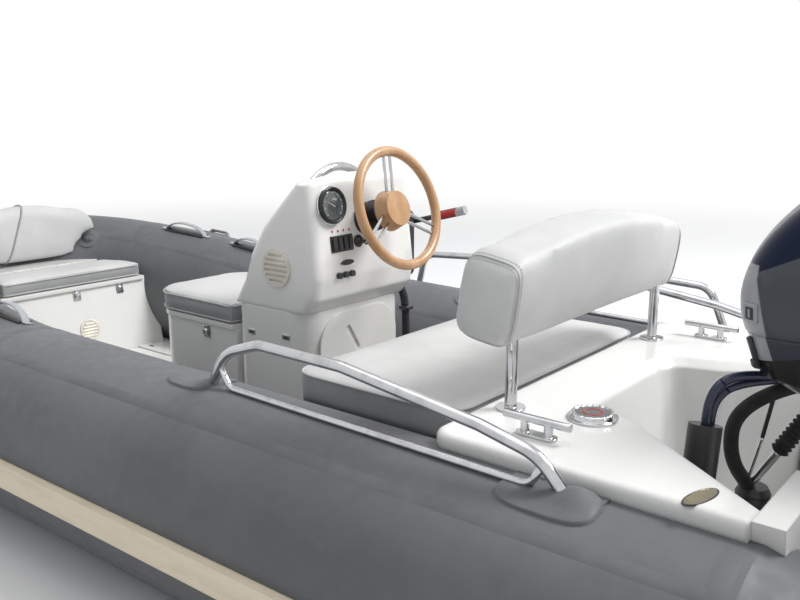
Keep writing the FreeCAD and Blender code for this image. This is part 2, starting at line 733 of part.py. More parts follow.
def latch(foot, out, up):
    """A toggle latch below a lid's lip: plate, body and lever knob."""
    side = up.cross(out)

    def slab(half, low, high, depth, start=0.0):
        pts = [foot + side * s + up * t + out * start for s, t in ((-half, low), (half, low), (half, high),
                                                                   (-half, high))]
        return prism(pts, out * depth)

    pin = rod(foot - up * 24, foot - up * 24 + out * 14, 9)
    return slab(16, -44, -4, 3).fuse(slab(9, -36, -4, 5, 3)).fuse(pin)


rake = V(bow_locker_rake, 0, bow_locker_z - floor_z).normalize()
locker_lip = V(bow_locker_x + bow_locker_rake, 0, bow_locker_z)
NODES["latches"] = Part.makeCompound(
    [latch(locker_lip + V(0, y, 0), V(-rake.z, 0, rake.x), rake) for y in (0.0, -200.0)]
    + [latch(V(pod_x0 + 140, pod_half, pod_top_z), V(0, 1, 0), V(0, 0, 1))])

# Steering wheel on its sloping shaft
tilt = math.radians(wheel_tilt_deg)
wheel_axis = V(-math.cos(tilt), 0, math.sin(tilt))
wheel_up = V(math.sin(tilt), 0, math.cos(tilt))
wheel_centre = V(wheel_x, 0, wheel_z)
rim = Part.makeTorus(wheel_radius - wheel_rim, wheel_rim, wheel_centre, wheel_axis)
hub_low = wheel_centre - wheel_axis * wheel_hub_depth
hub = Part.makeCone(wheel_hub_radius, wheel_hub_radius * 0.84, wheel_hub_depth, hub_low, wheel_axis)
spokes = []
for angle in (90.0, 210.0, 330.0):
    a = math.radians(angle)
    radial = wheel_up * math.sin(a) + V(0, 1, 0) * math.cos(a)
    beside = wheel_up * math.cos(a) - V(0, 1, 0) * math.sin(a)
    for side in (-13, 13):
        spokes.append(rod(wheel_centre - wheel_axis * 22 + beside * side + radial * 36,
                          wheel_centre + beside * side + radial * (wheel_radius - wheel_rim), 4.5))
NODES["wheel_rim"] = rim
NODES["wheel_hub"] = hub
NODES["wheel_spokes"] = spokes[0].multiFuse(spokes[1:]).cut([rim, hub])
NODES["wheel_shaft"] = rod(hub_low, hub_low - wheel_axis * wheel_shaft_length, wheel_shaft_radius)
helm_end = hub_low - wheel_axis * (wheel_shaft_length + seat_gap)
helm = rod(helm_end, helm_end - wheel_axis * 80, helm_radius).cut(NODES["console_top"])
NODES["helm_bezel"] = min(helm.Solids, key=lambda s: s.CenterOfMass.x)

# Clamp bracket, tilt tube and swivel
clamp = []
tilt_tube = rod(V(tilt_x, -clamp_y * 1.7, tilt_z), V(tilt_x, clamp_y * 1.7, tilt_z), tilt_tube_radius)
inner, outer = transom_x + seat_gap, transom_x - transom_thickness - seat_gap
saddle = transom_top_z + seat_gap
clamp_side = [(inner + 20, tilt_z - 20), (inner + 32, tilt_z - 100), (inner + 18, tilt_z - 200),
              (inner, tilt_z - 200), (inner, saddle), (outer, saddle), (outer, clamp_foot_z),
              (outer - 23, clamp_foot_z), (outer - 27, tilt_z - 20), (outer - 3, tilt_z + 26),
              (inner, tilt_z + 30)]
for side in (1, -1):
    clamp.append(prism([V(px, clamp_y * side, pz) for px, pz in clamp_side],
                       V(0, clamp_thickness * side, 0)).cut(tilt_tube))
NODES["clamp_bracket"] = Part.makeCompound(clamp)
NODES["tilt_tube"] = tilt_tube

tilt_at = V(tilt_x, 0, tilt_z)
web_half = swivel_radius + 12
web = prism([V(tilt_x, -web_half, tilt_z + 20), V(swivel_x, -web_half, swivel_high_z - 10),
             V(swivel_x, -web_half, swivel_low_z + 30), V(swivel_x + 40, -web_half, swivel_low_z + 20),
             V(tilt_x - 62, -web_half, tilt_z - 50), V(tilt_x, -web_half, tilt_z - 20)], V(0, 2 * web_half, 0))
barrel = rod(tilt_at - V(0, barrel_half, 0), tilt_at + V(0, barrel_half, 0), tilt_tube_radius + 12)
swivel = rod(V(swivel_x, 0, swivel_low_z), V(swivel_x, 0, swivel_high_z), swivel_radius)
swivel = swivel.multiFuse([web, barrel])
tilt_reach = V(0, clamp_y * 2, 0)
swivel = swivel.cut([rod(tilt_at - tilt_reach, tilt_at + tilt_reach, tilt_tube_radius + tilt_fit),
                     rod(V(swivel_x, 0, 0), V(swivel_x, 0, deck_z), steer_radius + tilt_fit)])
NODES["swivel_bracket"] = swivel


# Engine leg, gearcase and cowls
def leg_outline(front, aft, half, z):
    """Blunt nose, straight sides that taper to a narrow tail."""
    x0, x1 = swivel_x + front, swivel_x + aft
    pts = [V(x0, -half * 0.45, z), V(x0 - 40, -half, z), V(x1 + 90, -half * 0.9, z), V(x1, -half * 0.2, z)]
    pts += [V(p.x, -p.y, p.z) for p in reversed(pts)]
    return Part.makePolygon(pts + [pts[0]])


leg = Part.makeLoft([leg_outline(-53, -213, 62, pan_low_z), leg_outline(-53, -203, 48, 100),
                     leg_outline(-58, -193, 40, plate_z)], True, True)
steer_shaft = rod(V(swivel_x, 0, swivel_low_z - 60), V(swivel_x, 0, swivel_high_z + 40), steer_radius)
yokes = [box(swivel_x - 78, swivel_x + 20, -45, 45, swivel_high_z + yoke_gap, swivel_high_z + 40),
         box(swivel_x - 78, swivel_x + 20, -40, 40, swivel_low_z - 60, swivel_low_z - yoke_gap)]
leg = leg.multiFuse(yokes + [steer_shaft])
arm = prism([V(swivel_x + 10, -30, swivel_high_z + 16), V(swivel_x + 150, -16, swivel_high_z + 16),
             V(swivel_x + 150, 16, swivel_high_z + 16), V(swivel_x + 10, 30, swivel_high_z + 16)], V(0, 0, 14))
NODES["midsection"] = leg.fuse(arm)

fin = [(-23, -50), (-78, -95), (-318, -100), (-373, -60)]
fin = [V(swivel_x + a, b, plate_z) for a, b in fin + [(a, -b) for a, b in reversed(fin)]]
strut = Part.makeLoft([leg_outline(-60, -208, 38, plate_z - 10), leg_outline(-68, -198, 24, prop_z)],
                      True, True)
aft = V(-1, 0, 0)
case_x = swivel_x - 38
case_end_x = case_x - 210
torpedo = Part.makeCylinder(gearcase_radius, 210, V(case_x, 0, prop_z), aft)
bullet = Part.makeCone(14, gearcase_radius, 75, V(case_x + 75, 0, prop_z), aft)
skeg = [(-53, prop_z), (-78, skeg_z), (-158, skeg_z), (-233, prop_z - 30), (-233, prop_z)]
skeg = prism([V(swivel_x + a, -7, b) for a, b in skeg], V(0, 14, 0))
lower_unit = prism(fin, V(0, 0, -10)).multiFuse([strut, torpedo, bullet, skeg])
shaft_end = case_x - 140
prop_shaft = rod(V(shaft_end, 0, prop_z), V(prop_x - 72, 0, prop_z), prop_shaft_radius)
lower_unit = lower_unit.cut(rod(V(shaft_end + 0.5, 0, prop_z), V(prop_x - 80, 0, prop_z),
                                prop_shaft_radius + running_fit))
NODES["lower_unit"] = lower_unit

prop_hub = rod(V(case_end_x - prop_gap, 0, prop_z), V(prop_x - 55, 0, prop_z), gearcase_radius - 8)
prop_hub = prop_hub.fuse(Part.makeCone(24, 14, 18, V(prop_x - 55, 0, prop_z), aft)).fuse(prop_shaft)
blade = [(-20, 30), (-58, 92), (-40, prop_radius - 10), (10, prop_radius - 2), (52, 108), (24, 30)]
blade = prism([V(0, a, b) for a, b in blade], V(7, 0, 0))
blade.rotate(V(0, 0, 0), V(0, 0, 1), 28)
blade.translate(V(prop_x - 4, 0, prop_z))
blades = []
for k in range(3):
    blades.append(blade.copy())
    blades[-1].rotate(V(prop_x, 0, prop_z), V(1, 0, 0), 120 * k)
NODES["propeller"] = prop_hub.multiFuse(blades)


def cowl_section(z, front, aft, half, front_corner, aft_corner):
    """Rounded outline with a bowed nose, all lines and arcs, at height z."""
    x0, x1 = swivel_x + front, swivel_x + aft
    side = x0 - nose_bulge
    k = math.sqrt(0.5)

    def arc(p, q, centre, radius, dx):
        return Part.Arc(p, V(centre.x + dx * radius * k, centre.y + math.copysign(radius * k, centre.y), z),
                        q).toShape()

    a, b = V(side, half - front_corner, z), V(side - front_corner, half, z)
    c, d = V(x1 + aft_corner, half, z), V(x1, half - aft_corner, z)
    e, f, g, h = [V(p.x, -p.y, p.z) for p in (d, c, b, a)]
    edges = [Part.Arc(h, V(x0, 0, z), a).toShape(),
             arc(a, b, V(side - front_corner, half - front_corner, z), front_corner, 1),
             Part.LineSegment(b, c).toShape(),
             arc(c, d, V(x1 + aft_corner, half - aft_corner, z), aft_corner, -1),
             Part.LineSegment(d, e).toShape(),
             arc(e, f, V(x1 + aft_corner, aft_corner - half, z), aft_corner, -1),
             Part.LineSegment(f, g).toShape(),
             arc(g, h, V(side - front_corner, front_corner - half, z), front_corner, 1)]
    return Part.Wire(edges)


pan = Part.makeLoft([cowl_section(*row) for row in PAN_SECTIONS], True, True)
cowl = Part.makeLoft([cowl_section(*row) for row in COWL_SECTIONS], True, False)
power = box(swivel_x - 238, swivel_x + 120, -110, 110, pan_low_z + 1, 925)
power = power.cut(NODES["midsection"])
NODES["powerhead"] = power
NODES["cowl_lower"] = pan.cut([power, NODES["midsection"]])
NODES["cowl_upper"] = cowl.cut(power)

# Rails over the side tubes
rail_path = [V(px, rail_y, deck_z + pz) for px, pz in RAIL_PATH]
upper_rail = bent_rod(rail_path, rail_radius, rail_bend)
bar_lift = tube_radius + lower_rail_radius - 2


def over_tube(x):
    """Point at a rail's y where a bar lies on the collar at x."""
    run = (x - tube_stern_x) / collar_start().ahead.x
    centre = collar_start().at + collar_start().ahead * run
    return V(x, rail_y, centre.z + math.sqrt(bar_lift ** 2 - (rail_y - centre.y) ** 2))


lower_rail = rod(over_tube(-1300.0), over_tube(-496.0), lower_rail_radius)
links = [rod(over_tube(-496.0), V(-468.0, rail_y, deck_z + 42), lower_rail_radius),
         rod(over_tube(-1300.0), V(-1328.0, rail_y, deck_z + 28), lower_rail_radius)]
rail = upper_rail.multiFuse([lower_rail] + links)


def tube_skin(x0, x1, y0, y1, corner):
    """A fabric pad on the port tube inside a rounded rectangle seen from above."""
    ring = disc(tube_radius + pad_thickness).cut(disc(tube_radius))
    skin = collar_start().face(ring).extrude(collar_start().ahead * tube_side_run)
    block = fillet_where(box(x0, x1, y0, y1, tube_stern_z, deck_z + 100), corner, is_vertical)
    return skin.common(block)


rail_pads = [tube_skin(*row).cut(rail).cut(NODES["aft_deck"]) for row in RAIL_PADS]
NODES["rail_pads"] = both(Part.makeCompound(rail_pads))
NODES["grab_rails"] = both(biggest(rail.cut(TUBES)))

hoop_points = [V(px, side_hoop_y, pz) for px, pz in SIDE_HOOP]
NODES["side_hoop"] = biggest(bent_rod(hoop_points, rail_radius, side_hoop_bend).cut(TUBES))

cleat_top = deck_z + 34
cleat = rod(V(cleat_x - cleat_length / 2, cleat_y, cleat_top),
            V(cleat_x + cleat_length / 2, cleat_y, cleat_top), 8.5)
for dx in (-26, 26):
    cleat = cleat.fuse(rod(V(cleat_x + dx, cleat_y, deck_z), V(cleat_x + dx, cleat_y, cleat_top), 9.0))
foot = fillet_where(box(cleat_x - 44, cleat_x + 44, cleat_y - 15, cleat_y + 15, deck_z, deck_z + 6),
                    14.0, is_vertical)
NODES["cleats"] = both(cleat.fuse(foot))
filler_at = V(filler_x, filler_y, deck_z)
NODES["fuel_filler"] = Part.makeCylinder(filler_radius, 5, filler_at).fuse(
    Part.makeCone(filler_radius - 5, filler_radius - 9, 9, filler_at + V(0, 0, 5)))

# Carry handles: a skin patch with a raised strap
handles = []
for distance, outboard in HANDLES:
    course = collar_at(distance)
    lean = math.radians(outboard)
    rise = course.up * math.cos(lean) + course.out * math.sin(lean)
    across = course.out * math.cos(lean) - course.up * math.sin(lean)
    centre = course.at + rise * tube_radius
    patch = [centre + course.ahead * (handle_length / 2 * s) + across * (handle_width / 2 * t) - rise * 12
             for s, t in ((-1, -1), (1, -1), (1, 1), (-1, 1))]
    patch = prism(patch, rise * 15)
    outline = [(-60, -2), (-42, strap_rise), (42, strap_rise), (60, -2), (50, -2), (36, strap_rise - 6),
               (-36, strap_rise - 6), (-50, -2)]
    strap = prism([centre + course.ahead * a + rise * b - across * (strap_width / 2) for a, b in outline],
                  across * strap_width)
    handles.append(biggest(patch.fuse(strap).cut(TUBES)))
NODES["tube_handles"] = both(Part.makeCompound(handles))

# Rigging from the splash well to the engine's front
sleeve_top = V(well_front_x - 243, 178, deck_z - 8)
sleeve = bent_rod([V(sleeve_top.x - 8, 214, well_floor_z), V(sleeve_top.x - 2, 210, 340), sleeve_top],
                  sleeve_radius, 120.0)
boot_at = V(transom_x + 158, -6, well_floor_z)
boot = Part.makeCone(66, 50, 100, boot_at)
for k in range(boot_rings):
    boot = boot.fuse(Part.makeCone(50 - 3 * k, 42 - 3 * k, boot_ring_height,
                                   boot_at + V(0, 0, 98 + boot_ring_height * k)))
boot_top = boot_at + V(0, 0, 98 + boot_ring_height * boot_rings)
engine_front = V(swivel_x + 250, 0, 566)
# Hose routes: from the sleeve or the boot to the engine's front
HOSES = [
    (hose_radius, [sleeve_top + V(-4, 12, 0), sleeve_top + V(-6, 0, 82), sleeve_top + V(-38, -38, 108),
                   engine_front + V(12, 78, 22)]),
    (hose_radius, [sleeve_top + V(-4, -14, 0), sleeve_top + V(-8, -30, 60), sleeve_top + V(-38, -64, 82),
                   engine_front + V(0, 54, 12)]),
    (conduit_radius, [boot_top + V(6, 2, -24), boot_top + V(22, 52, 40), boot_top + V(38, 92, 120),
                      boot_top + V(24, 82, 214), engine_front + V(-34, 30, 0)]),
]
hoses = []
for radius, path in HOSES:
    turns = []
    for before, corner, after in zip(path, path[1:], path[2:]):
        turn = (corner - before).getAngle(after - corner)
        turns.append(0.45 * min((corner - before).Length, (after - corner).Length) / math.tan(turn / 2))
    print("hose bends", [round(t) for t in turns])
    hoses.append(bent_rod(path, radius, min(turns)))
NODES["rigging_sleeve"] = sleeve.cut(NODES["aft_deck"])
NODES["well_boot"] = boot.cut(NODES["aft_deck"])
pan = NODES["cowl_lower"].copy()
pan.translate(V(hose_gap, 0, -hose_gap))
NODES["rigging_hoses"] = Part.makeCompound([biggest(hose.cut(sleeve).cut(boot).cut(pan)) for hose in hoses])


# Towing eyes at the stem and on the transom
def eye(centre, inner, axis):
    """A lug with its hole at centre along axis, reaching from inner."""
    side = (centre - inner).cross(axis).normalize() * eye_radius
    half = axis * (eye_thickness / 2)
    web = prism([inner + side - half, centre + side - half, centre - side - half, inner - side - half],
                half * 2)
    end = Part.makeCylinder(eye_radius, eye_thickness, centre - half, axis)
    hole = Part.makeCylinder(eye_hole_radius, eye_thickness * 2, centre - half * 2, axis)
    return web.fuse(end).cut(hole)


stem_normal = V(100, 0, -140).normalize()
stem_at = V(stem_x, 0, stem_z)
bow_eye = eye(stem_at + stem_normal * 34, stem_at - stem_normal * 20, V(0, 1, 0))
NODES["bow_eye"] = biggest(bow_eye.cut([NODES["hull"]] + TUBES))
stern_at = V(transom_x - transom_thickness, stern_eye_y, stern_eye_z)
NODES["stern_eyes"] = both(eye(stern_at + V(-30, 0, 0), stern_at, V(0, 0, 1)))

os.makedirs("parts", exist_ok=True)
for name, shape in NODES.items():
    if not shape.isValid() or not shape.Solids:
        print("CHECK", name, shape.isValid(), len(shape.Solids))
    shape.exportStep("parts/" + name + ".step")
print(len(NODES), "nodes")
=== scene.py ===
import json
import math

import bmesh
import bpy
import numpy as np
from mathutils import Matrix, Vector
from mathutils.bvhtree import BVHTree


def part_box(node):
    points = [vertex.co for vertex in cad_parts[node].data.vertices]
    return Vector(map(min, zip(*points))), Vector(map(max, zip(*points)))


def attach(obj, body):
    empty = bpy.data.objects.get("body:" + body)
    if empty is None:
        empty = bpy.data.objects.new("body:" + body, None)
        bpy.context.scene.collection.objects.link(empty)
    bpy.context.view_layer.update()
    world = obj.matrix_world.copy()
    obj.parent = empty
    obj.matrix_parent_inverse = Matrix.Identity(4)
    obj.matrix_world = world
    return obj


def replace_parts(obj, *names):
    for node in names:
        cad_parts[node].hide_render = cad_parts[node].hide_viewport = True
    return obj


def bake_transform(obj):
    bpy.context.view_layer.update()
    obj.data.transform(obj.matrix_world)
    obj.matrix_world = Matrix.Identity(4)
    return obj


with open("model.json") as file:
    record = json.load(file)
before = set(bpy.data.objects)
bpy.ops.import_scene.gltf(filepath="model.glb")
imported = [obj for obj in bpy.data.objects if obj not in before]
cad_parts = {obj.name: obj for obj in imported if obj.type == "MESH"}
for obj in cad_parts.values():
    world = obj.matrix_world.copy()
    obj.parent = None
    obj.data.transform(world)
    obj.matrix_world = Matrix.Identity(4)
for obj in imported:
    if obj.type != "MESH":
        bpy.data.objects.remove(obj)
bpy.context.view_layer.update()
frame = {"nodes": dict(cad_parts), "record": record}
NODES = frame["nodes"]
SIDES = ((1, "port"), (-1, "starboard"))
AHEAD, PORT, UP = Vector((1, 0, 0)), Vector((0, 1, 0)), Vector((0, 0, 1))
scene = bpy.context.scene
scene.view_settings.view_transform = "Standard"

# Camera at the photograph's viewing angle
CAMERA_AT = Vector((-2.012, 1.863, 1.122))
CAMERA_YAW, CAMERA_PITCH = math.radians(-51.0), math.radians(-12.55)
SENSOR_MM, FOCAL_PX, WIDTH_PX = 36.0, 865.0, 800.0
camera = bpy.data.objects.new("camera", bpy.data.cameras.new("camera"))
camera.data.sensor_width = SENSOR_MM
camera.data.lens = SENSOR_MM * FOCAL_PX / WIDTH_PX
camera.location = CAMERA_AT
look = Vector((math.cos(CAMERA_YAW) * math.cos(CAMERA_PITCH),
               math.sin(CAMERA_YAW) * math.cos(CAMERA_PITCH), math.sin(CAMERA_PITCH)))
camera.rotation_euler = look.to_track_quat("-Z", "Y").to_euler()
scene.collection.objects.link(camera)
scene.camera = camera


# Materials
class Graph:
    """A material's node tree, built by name."""

    def __init__(self, name):
        self.material = bpy.data.materials.new(name)
        self.material.use_nodes = True
        self.tree = self.material.node_tree
        self.shader = self.tree.nodes["Principled BSDF"]
        self.place = self.add("ShaderNodeTexCoord").outputs["Object"]
        self.normal = None

    def add(self, kind, **settings):
        node = self.tree.nodes.new(kind)
        for key, value in settings.items():
            if key in node.inputs:
                node.inputs[key].default_value = value
            else:
                setattr(node, key, value)
        return node

    def link(self, source, target):
        self.tree.links.new(source, target)

    def noise(self, scale, detail=2.0, rough=0.5, stretch=None):
        place = self.place
        if stretch:
            mapping = self.add("ShaderNodeMapping", Scale=stretch)
            self.link(place, mapping.inputs["Vector"])
            place = mapping.outputs["Vector"]
        node = self.add("ShaderNodeTexNoise", Scale=scale, Detail=detail, Roughness=rough)
        self.link(place, node.inputs["Vector"])
        return node.outputs["Fac"]

    def cells(self, scale):
        node = self.add("ShaderNodeTexVoronoi", Scale=scale)
        self.link(self.place, node.inputs["Vector"])
        return node.outputs["Distance"]

    def spread(self, value, low, high, out_low=0.0, out_high=1.0):
        """A value's range from low to high, turned smoothly into another range."""
        node = self.add("ShaderNodeMapRange", interpolation_type="SMOOTHSTEP")
        for key, number in zip(("From Min", "From Max", "To Min", "To Max"), (low, high, out_low, out_high)):
            node.inputs[key].default_value = number
        self.link(value, node.inputs["Value"])
        return node.outputs["Result"]

    def mix(self, factor, a, b):
        node = self.add("ShaderNodeMix", data_type="RGBA")
        self.link(factor, node.inputs["Factor"])
        for socket, value in ((node.inputs["A"], a), (node.inputs["B"], b)):
            if isinstance(value, tuple):
                socket.default_value = (*value, 1.0)
            else:
                self.link(value, socket)
        return node.outputs["Result"]

    def maths(self, operation, a, b=None):
        node = self.add("ShaderNodeMath", operation=operation)
        for socket, value in zip(node.inputs, (a, b)):
            if value is None:
                continue
            if isinstance(value, (int, float)):
                socket.default_value = value
            else:
                self.link(value, socket)
        return node.outputs["Value"]

    def plus(self, a, b):
        return self.maths("ADD", a, b)

    def times(self, a, b):
        return self.maths("MULTIPLY", a, b)

    def axis(self, name):
        node = self.add("ShaderNodeSeparateXYZ")
        self.link(self.place, node.inputs["Vector"])
        return node.outputs[name]

    def shade_by(self, node):
        self.normal = node.outputs["Normal"]
        self.link(self.normal, self.shader.inputs["Normal"])

    def bump(self, height, distance, strength):
        node = self.add("ShaderNodeBump", Strength=strength, Distance=distance)
        self.link(height, node.inputs["Height"])
        if self.normal is not None:
            self.link(self.normal, node.inputs["Normal"])
        self.shade_by(node)

    def soften(self, radius):
        """Rounded highlights along hard edges."""
        self.shade_by(self.add("ShaderNodeBevel", samples=4, Radius=radius))

    def set(self, **values):
        names = {"rough": "Roughness", "metal": "Metallic", "coat": "Coat Weight",
                 "coat_rough": "Coat Roughness", "sheen": "Sheen Weight", "sheen_rough": "Sheen Roughness",
                 "ior": "IOR", "specular": "Specular IOR Level"}
        for key, value in values.items():
            self.shader.inputs[names[key]].default_value = value

    def color(self, value):
        self.link(value, self.shader.inputs["Base Color"])

    def mottled(self, a, b, low, high, *noise):
        """Base colour that goes from a to b as a noise goes from low to high."""
        self.color(self.mix(self.spread(self.noise(*noise), low, high), a, b))

    def rough(self, low, high, *noise, top=0.7):
        """Roughness that wanders from low to high with a noise."""
        self.link(self.spread(self.noise(*noise), 0.3, top, low, high), self.shader.inputs["Roughness"])


def tube_fabric():
    g = Graph("tube_fabric")
    cloudy = g.spread(g.noise(2.2, 4.0, 0.6), 0.35, 0.7)
    base = g.mix(cloudy, (0.098, 0.104, 0.112), (0.125, 0.131, 0.138))
    scuffs = g.spread(g.noise(9.0, 6.0, 0.7, (1.0, 1.0, 3.0)), 0.62, 0.8, 0.0, 0.5)
    g.color(g.mix(scuffs, base, (0.19, 0.195, 0.2)))
    g.rough(0.5, 0.64, 30.0, 3.0)
    g.set(specular=0.42, sheen=0.08, sheen_rough=0.5)
    g.bump(g.noise(520.0), 0.0005, 0.55)
    g.bump(g.noise(3.2, 3.0), 0.008, 0.35)
    return g.material


def seam_fabric():
    g = Graph("seam_fabric")
    g.mottled((0.088, 0.094, 0.102), (0.112, 0.118, 0.126), 0.35, 0.7, 6.0, 4.0)
    g.rough(0.46, 0.6, 30.0, 3.0)
    g.bump(g.noise(520.0), 0.0005, 0.5)
    return g.material


def strake_rubber():
    g = Graph("strake_rubber")
    dirt = g.spread(g.noise(14.0, 5.0, 0.65, (0.4, 0.4, 2.0)), 0.45, 0.75, 0.0, 0.55)
    g.color(g.mix(dirt, (0.80, 0.70, 0.54), (0.58, 0.49, 0.36)))
    g.rough(0.42, 0.6, 45.0, 3.0)
    g.soften(0.005)
    g.bump(g.noise(260.0), 0.0004, 0.4)
    return g.material


def gelcoat(name="gelcoat", edge=0.006):
    g = Graph(name)
    g.mottled((0.80, 0.795, 0.775), (0.76, 0.75, 0.725), 0.4, 0.75, 3.0, 4.0, 0.6)
    g.rough(0.16, 0.27, 18.0, 4.0)
    g.set(coat=0.35, coat_rough=0.08, ior=1.5)
    g.soften(edge)
    g.bump(g.noise(7.0), 0.0012, 0.25)
    return g.material


def vinyl(name="vinyl", light=(0.60, 0.60, 0.59), dark=(0.53, 0.53, 0.525)):
    g = Graph(name)
    g.mottled(dark, light, 0.35, 0.7, 5.0, 4.0, 0.6)
    g.rough(0.44, 0.58, 40.0, 3.0)
    g.set(specular=0.4, sheen=0.12, sheen_rough=0.4)
    g.bump(g.plus(g.spread(g.cells(620.0), 0.0, 0.7), g.times(g.noise(900.0), 0.6)), 0.00035, 0.5)
    g.bump(g.noise(14.0, 3.0), 0.003, 0.3)
    return g.material


def steel(name="stainless", color=(0.56, 0.565, 0.58), low=0.06, high=0.16, edge=0.004):
    g = Graph(name)
    g.soften(edge)
    g.mottled(color, tuple(c * 0.82 for c in color), 0.45, 0.7, 25.0, 4.0)
    g.rough(low, high, 60.0, 5.0, 0.7, (0.2, 1.0, 1.0), top=0.75)
    g.set(metal=1.0)
    return g.material


def plastic(name, color, low=0.35, high=0.5, grain=700.0, depth=0.0002):
    g = Graph(name)
    g.mottled(color, tuple(min(1.0, c * 1.25 + 0.004) for c in color), 0.4, 0.75, 12.0, 4.0)
    g.rough(low, high, 35.0, 3.0)
    g.soften(0.0015)
    g.bump(g.noise(grain), depth, 0.5)
    return g.material


def wheel_leather():
    """Tan leather with fine grain and warm variation."""
    g = Graph("wheel_tan")
    g.mottled((0.44, 0.235, 0.105), (0.57, 0.335, 0.17), 0.3, 0.75, 26.0, 5.0, 0.65, (1.0, 1.0, 0.25))
    g.rough(0.28, 0.42, 30.0, 3.0)
    g.set(coat=0.3, coat_rough=0.18)
    g.bump(g.spread(g.cells(900.0), 0.0, 0.6), 0.0002, 0.4)
    return g.material


def engine_paint(name, color, flake, rough, coat):
    g = Graph(name)
    g.color(g.mix(g.spread(g.noise(1400.0), 0.5, 0.8, 0.0, 0.5), color, flake))
    g.rough(rough, rough + 0.08, 30.0, 4.0)
    g.set(coat=coat, coat_rough=0.05)
    g.soften(0.004)
    return g.material


def gauge_glass():
    g = Graph("gauge_glass")
    g.mottled((0.055, 0.07, 0.08), (0.10, 0.12, 0.13), 0.3, 0.7, 30.0)
    g.set(rough=0.05, coat=1.0, coat_rough=0.02)
    return g.material


LOOKS = {
    "tube_fabric": tube_fabric(), "strake_rubber": strake_rubber(), "gelcoat": gelcoat(), "vinyl": vinyl(),
    "stainless": steel(), "rim_leather": wheel_leather(),
    "black_plastic": plastic("black_plastic", (0.018, 0.018, 0.02)),
    "handle_rubber": plastic("handle_rubber", (0.20, 0.205, 0.215), 0.5, 0.62),
    "engine_grey": engine_paint("engine_grey", (0.035, 0.038, 0.044), (0.08, 0.085, 0.095), 0.34, 0.3),
    "engine_navy": engine_paint("engine_navy", (0.010, 0.016, 0.040), (0.03, 0.045, 0.09), 0.14, 0.9),
    "cream_plastic": plastic("cream_plastic", (0.70, 0.67, 0.58), 0.4, 0.52),
}
SLOT_OF = {slot: slot for slot in LOOKS}
# Further looks, each after the slot that it belongs to
for slot, material in (
        ("engine_grey", engine_paint("engine_light", (0.30, 0.31, 0.33), (0.45, 0.46, 0.48), 0.3, 0.4)),
        ("black_plastic", plastic("dial", (0.012, 0.012, 0.014), 0.2, 0.3)),
        ("cream_plastic", plastic("dial_ink", (0.78, 0.78, 0.76), 0.5, 0.6)),
        ("black_plastic", gauge_glass()),
        ("black_plastic", plastic("red_rubber", (0.42, 0.018, 0.02), 0.4, 0.55)),
        ("stainless", steel("chrome", (0.66, 0.67, 0.68), 0.03, 0.08, 0.001)),
        ("stainless", steel("bronze", (0.26, 0.235, 0.15), 0.22, 0.34, 0.001)),
        ("vinyl", plastic("stitch", (0.32, 0.32, 0.32), 0.6, 0.7)),
        # Darker, bluer vinyl: painted shade on the pads' sides, also the bow pad strap's colour
        ("vinyl", vinyl("vinyl_dark_and_shade", (0.36, 0.365, 0.37), (0.31, 0.315, 0.32))),
        ("vinyl", vinyl("vinyl_piping", (0.50, 0.50, 0.495), (0.44, 0.44, 0.435))),
        ("tube_fabric", seam_fabric()),
        ("handle_rubber", plastic("valve", (0.055, 0.057, 0.062), 0.4, 0.5)),
        ("handle_rubber", plastic("pale_rubber", (0.33, 0.34, 0.35), 0.5, 0.62)),
        ("black_plastic", plastic("navy_hose", (0.007, 0.012, 0.040), 0.25, 0.36)),
        ("black_plastic", plastic("pale_line", (0.62, 0.63, 0.64), 0.3, 0.4)),
        ("black_plastic", plastic("sleeve_cloth", (0.012, 0.012, 0.014), 0.7, 0.85, 380.0, 0.0012))):
    LOOKS[material.name], SLOT_OF[material.name] = material, slot

for node in frame["record"]["subparts"]:
    obj = NODES[node["node"]]
    obj.data.materials.clear()
    obj.data.materials.append(LOOKS[node["material_slot"]])
ROUND_GELCOAT = gelcoat("gelcoat_round", 0.018)
for name in ("console_top", "aft_deck"):
    NODES[name].data.materials[0] = ROUND_GELCOAT


# Mesh helpers
def steps(low, high, count):
    return [low + (high - low) * i / (count - 1) for i in range(count)]


def from_bmesh(name, bm, look, body="boat", smooth=True):
    """A piece in its look, on its body if one is given."""
    mesh = bpy.data.meshes.new(name)
    bm.to_mesh(mesh)
    bm.free()
    for polygon in mesh.polygons:
        polygon.use_smooth = smooth
    mesh.materials.append(LOOKS[look])
    obj = bpy.data.objects.new(name, mesh)
    scene.collection.objects.link(obj)
    if body:
        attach(obj, body)
    return obj


def add_mesh(name, verts, faces, look, body="boat", smooth=True):
    """A piece from points and faces, with its normals made to point out."""
    mesh = bpy.data.meshes.new(name)
    mesh.from_pydata([tuple(v) for v in verts], [], faces)
    mesh.validate()
    bm = bmesh.new()
    bm.from_mesh(mesh)
    bpy.data.meshes.remove(mesh)
    bmesh.ops.recalc_face_normals(bm, faces=bm.faces)
    return from_bmesh(name, bm, look, body, smooth)


def ring(centre, across, along, wide, high, count):
    """Points round an ellipse, from the ways and the half sizes of its axes."""
    points = []
    for k in range(count):
        a = 2 * math.pi * k / count
        points.append(centre + across * (math.cos(a) * wide) + along * (math.sin(a) * high))
    return points


def tube_faces(rings, count, closed=False, capped=True):
    """Faces between rings of points, and over the first and the last ring."""
    faces = []
    for i in range(rings if closed else rings - 1):
        after = (i + 1) % rings
        for k in range(count):
            beside = (k + 1) % count
            faces.append((i * count + k, i * count + beside, after * count + beside, after * count + k))
    if capped and not closed:
        faces.append(tuple(reversed(range(count))))
        faces.append(tuple(range((rings - 1) * count, rings * count)))
    return faces


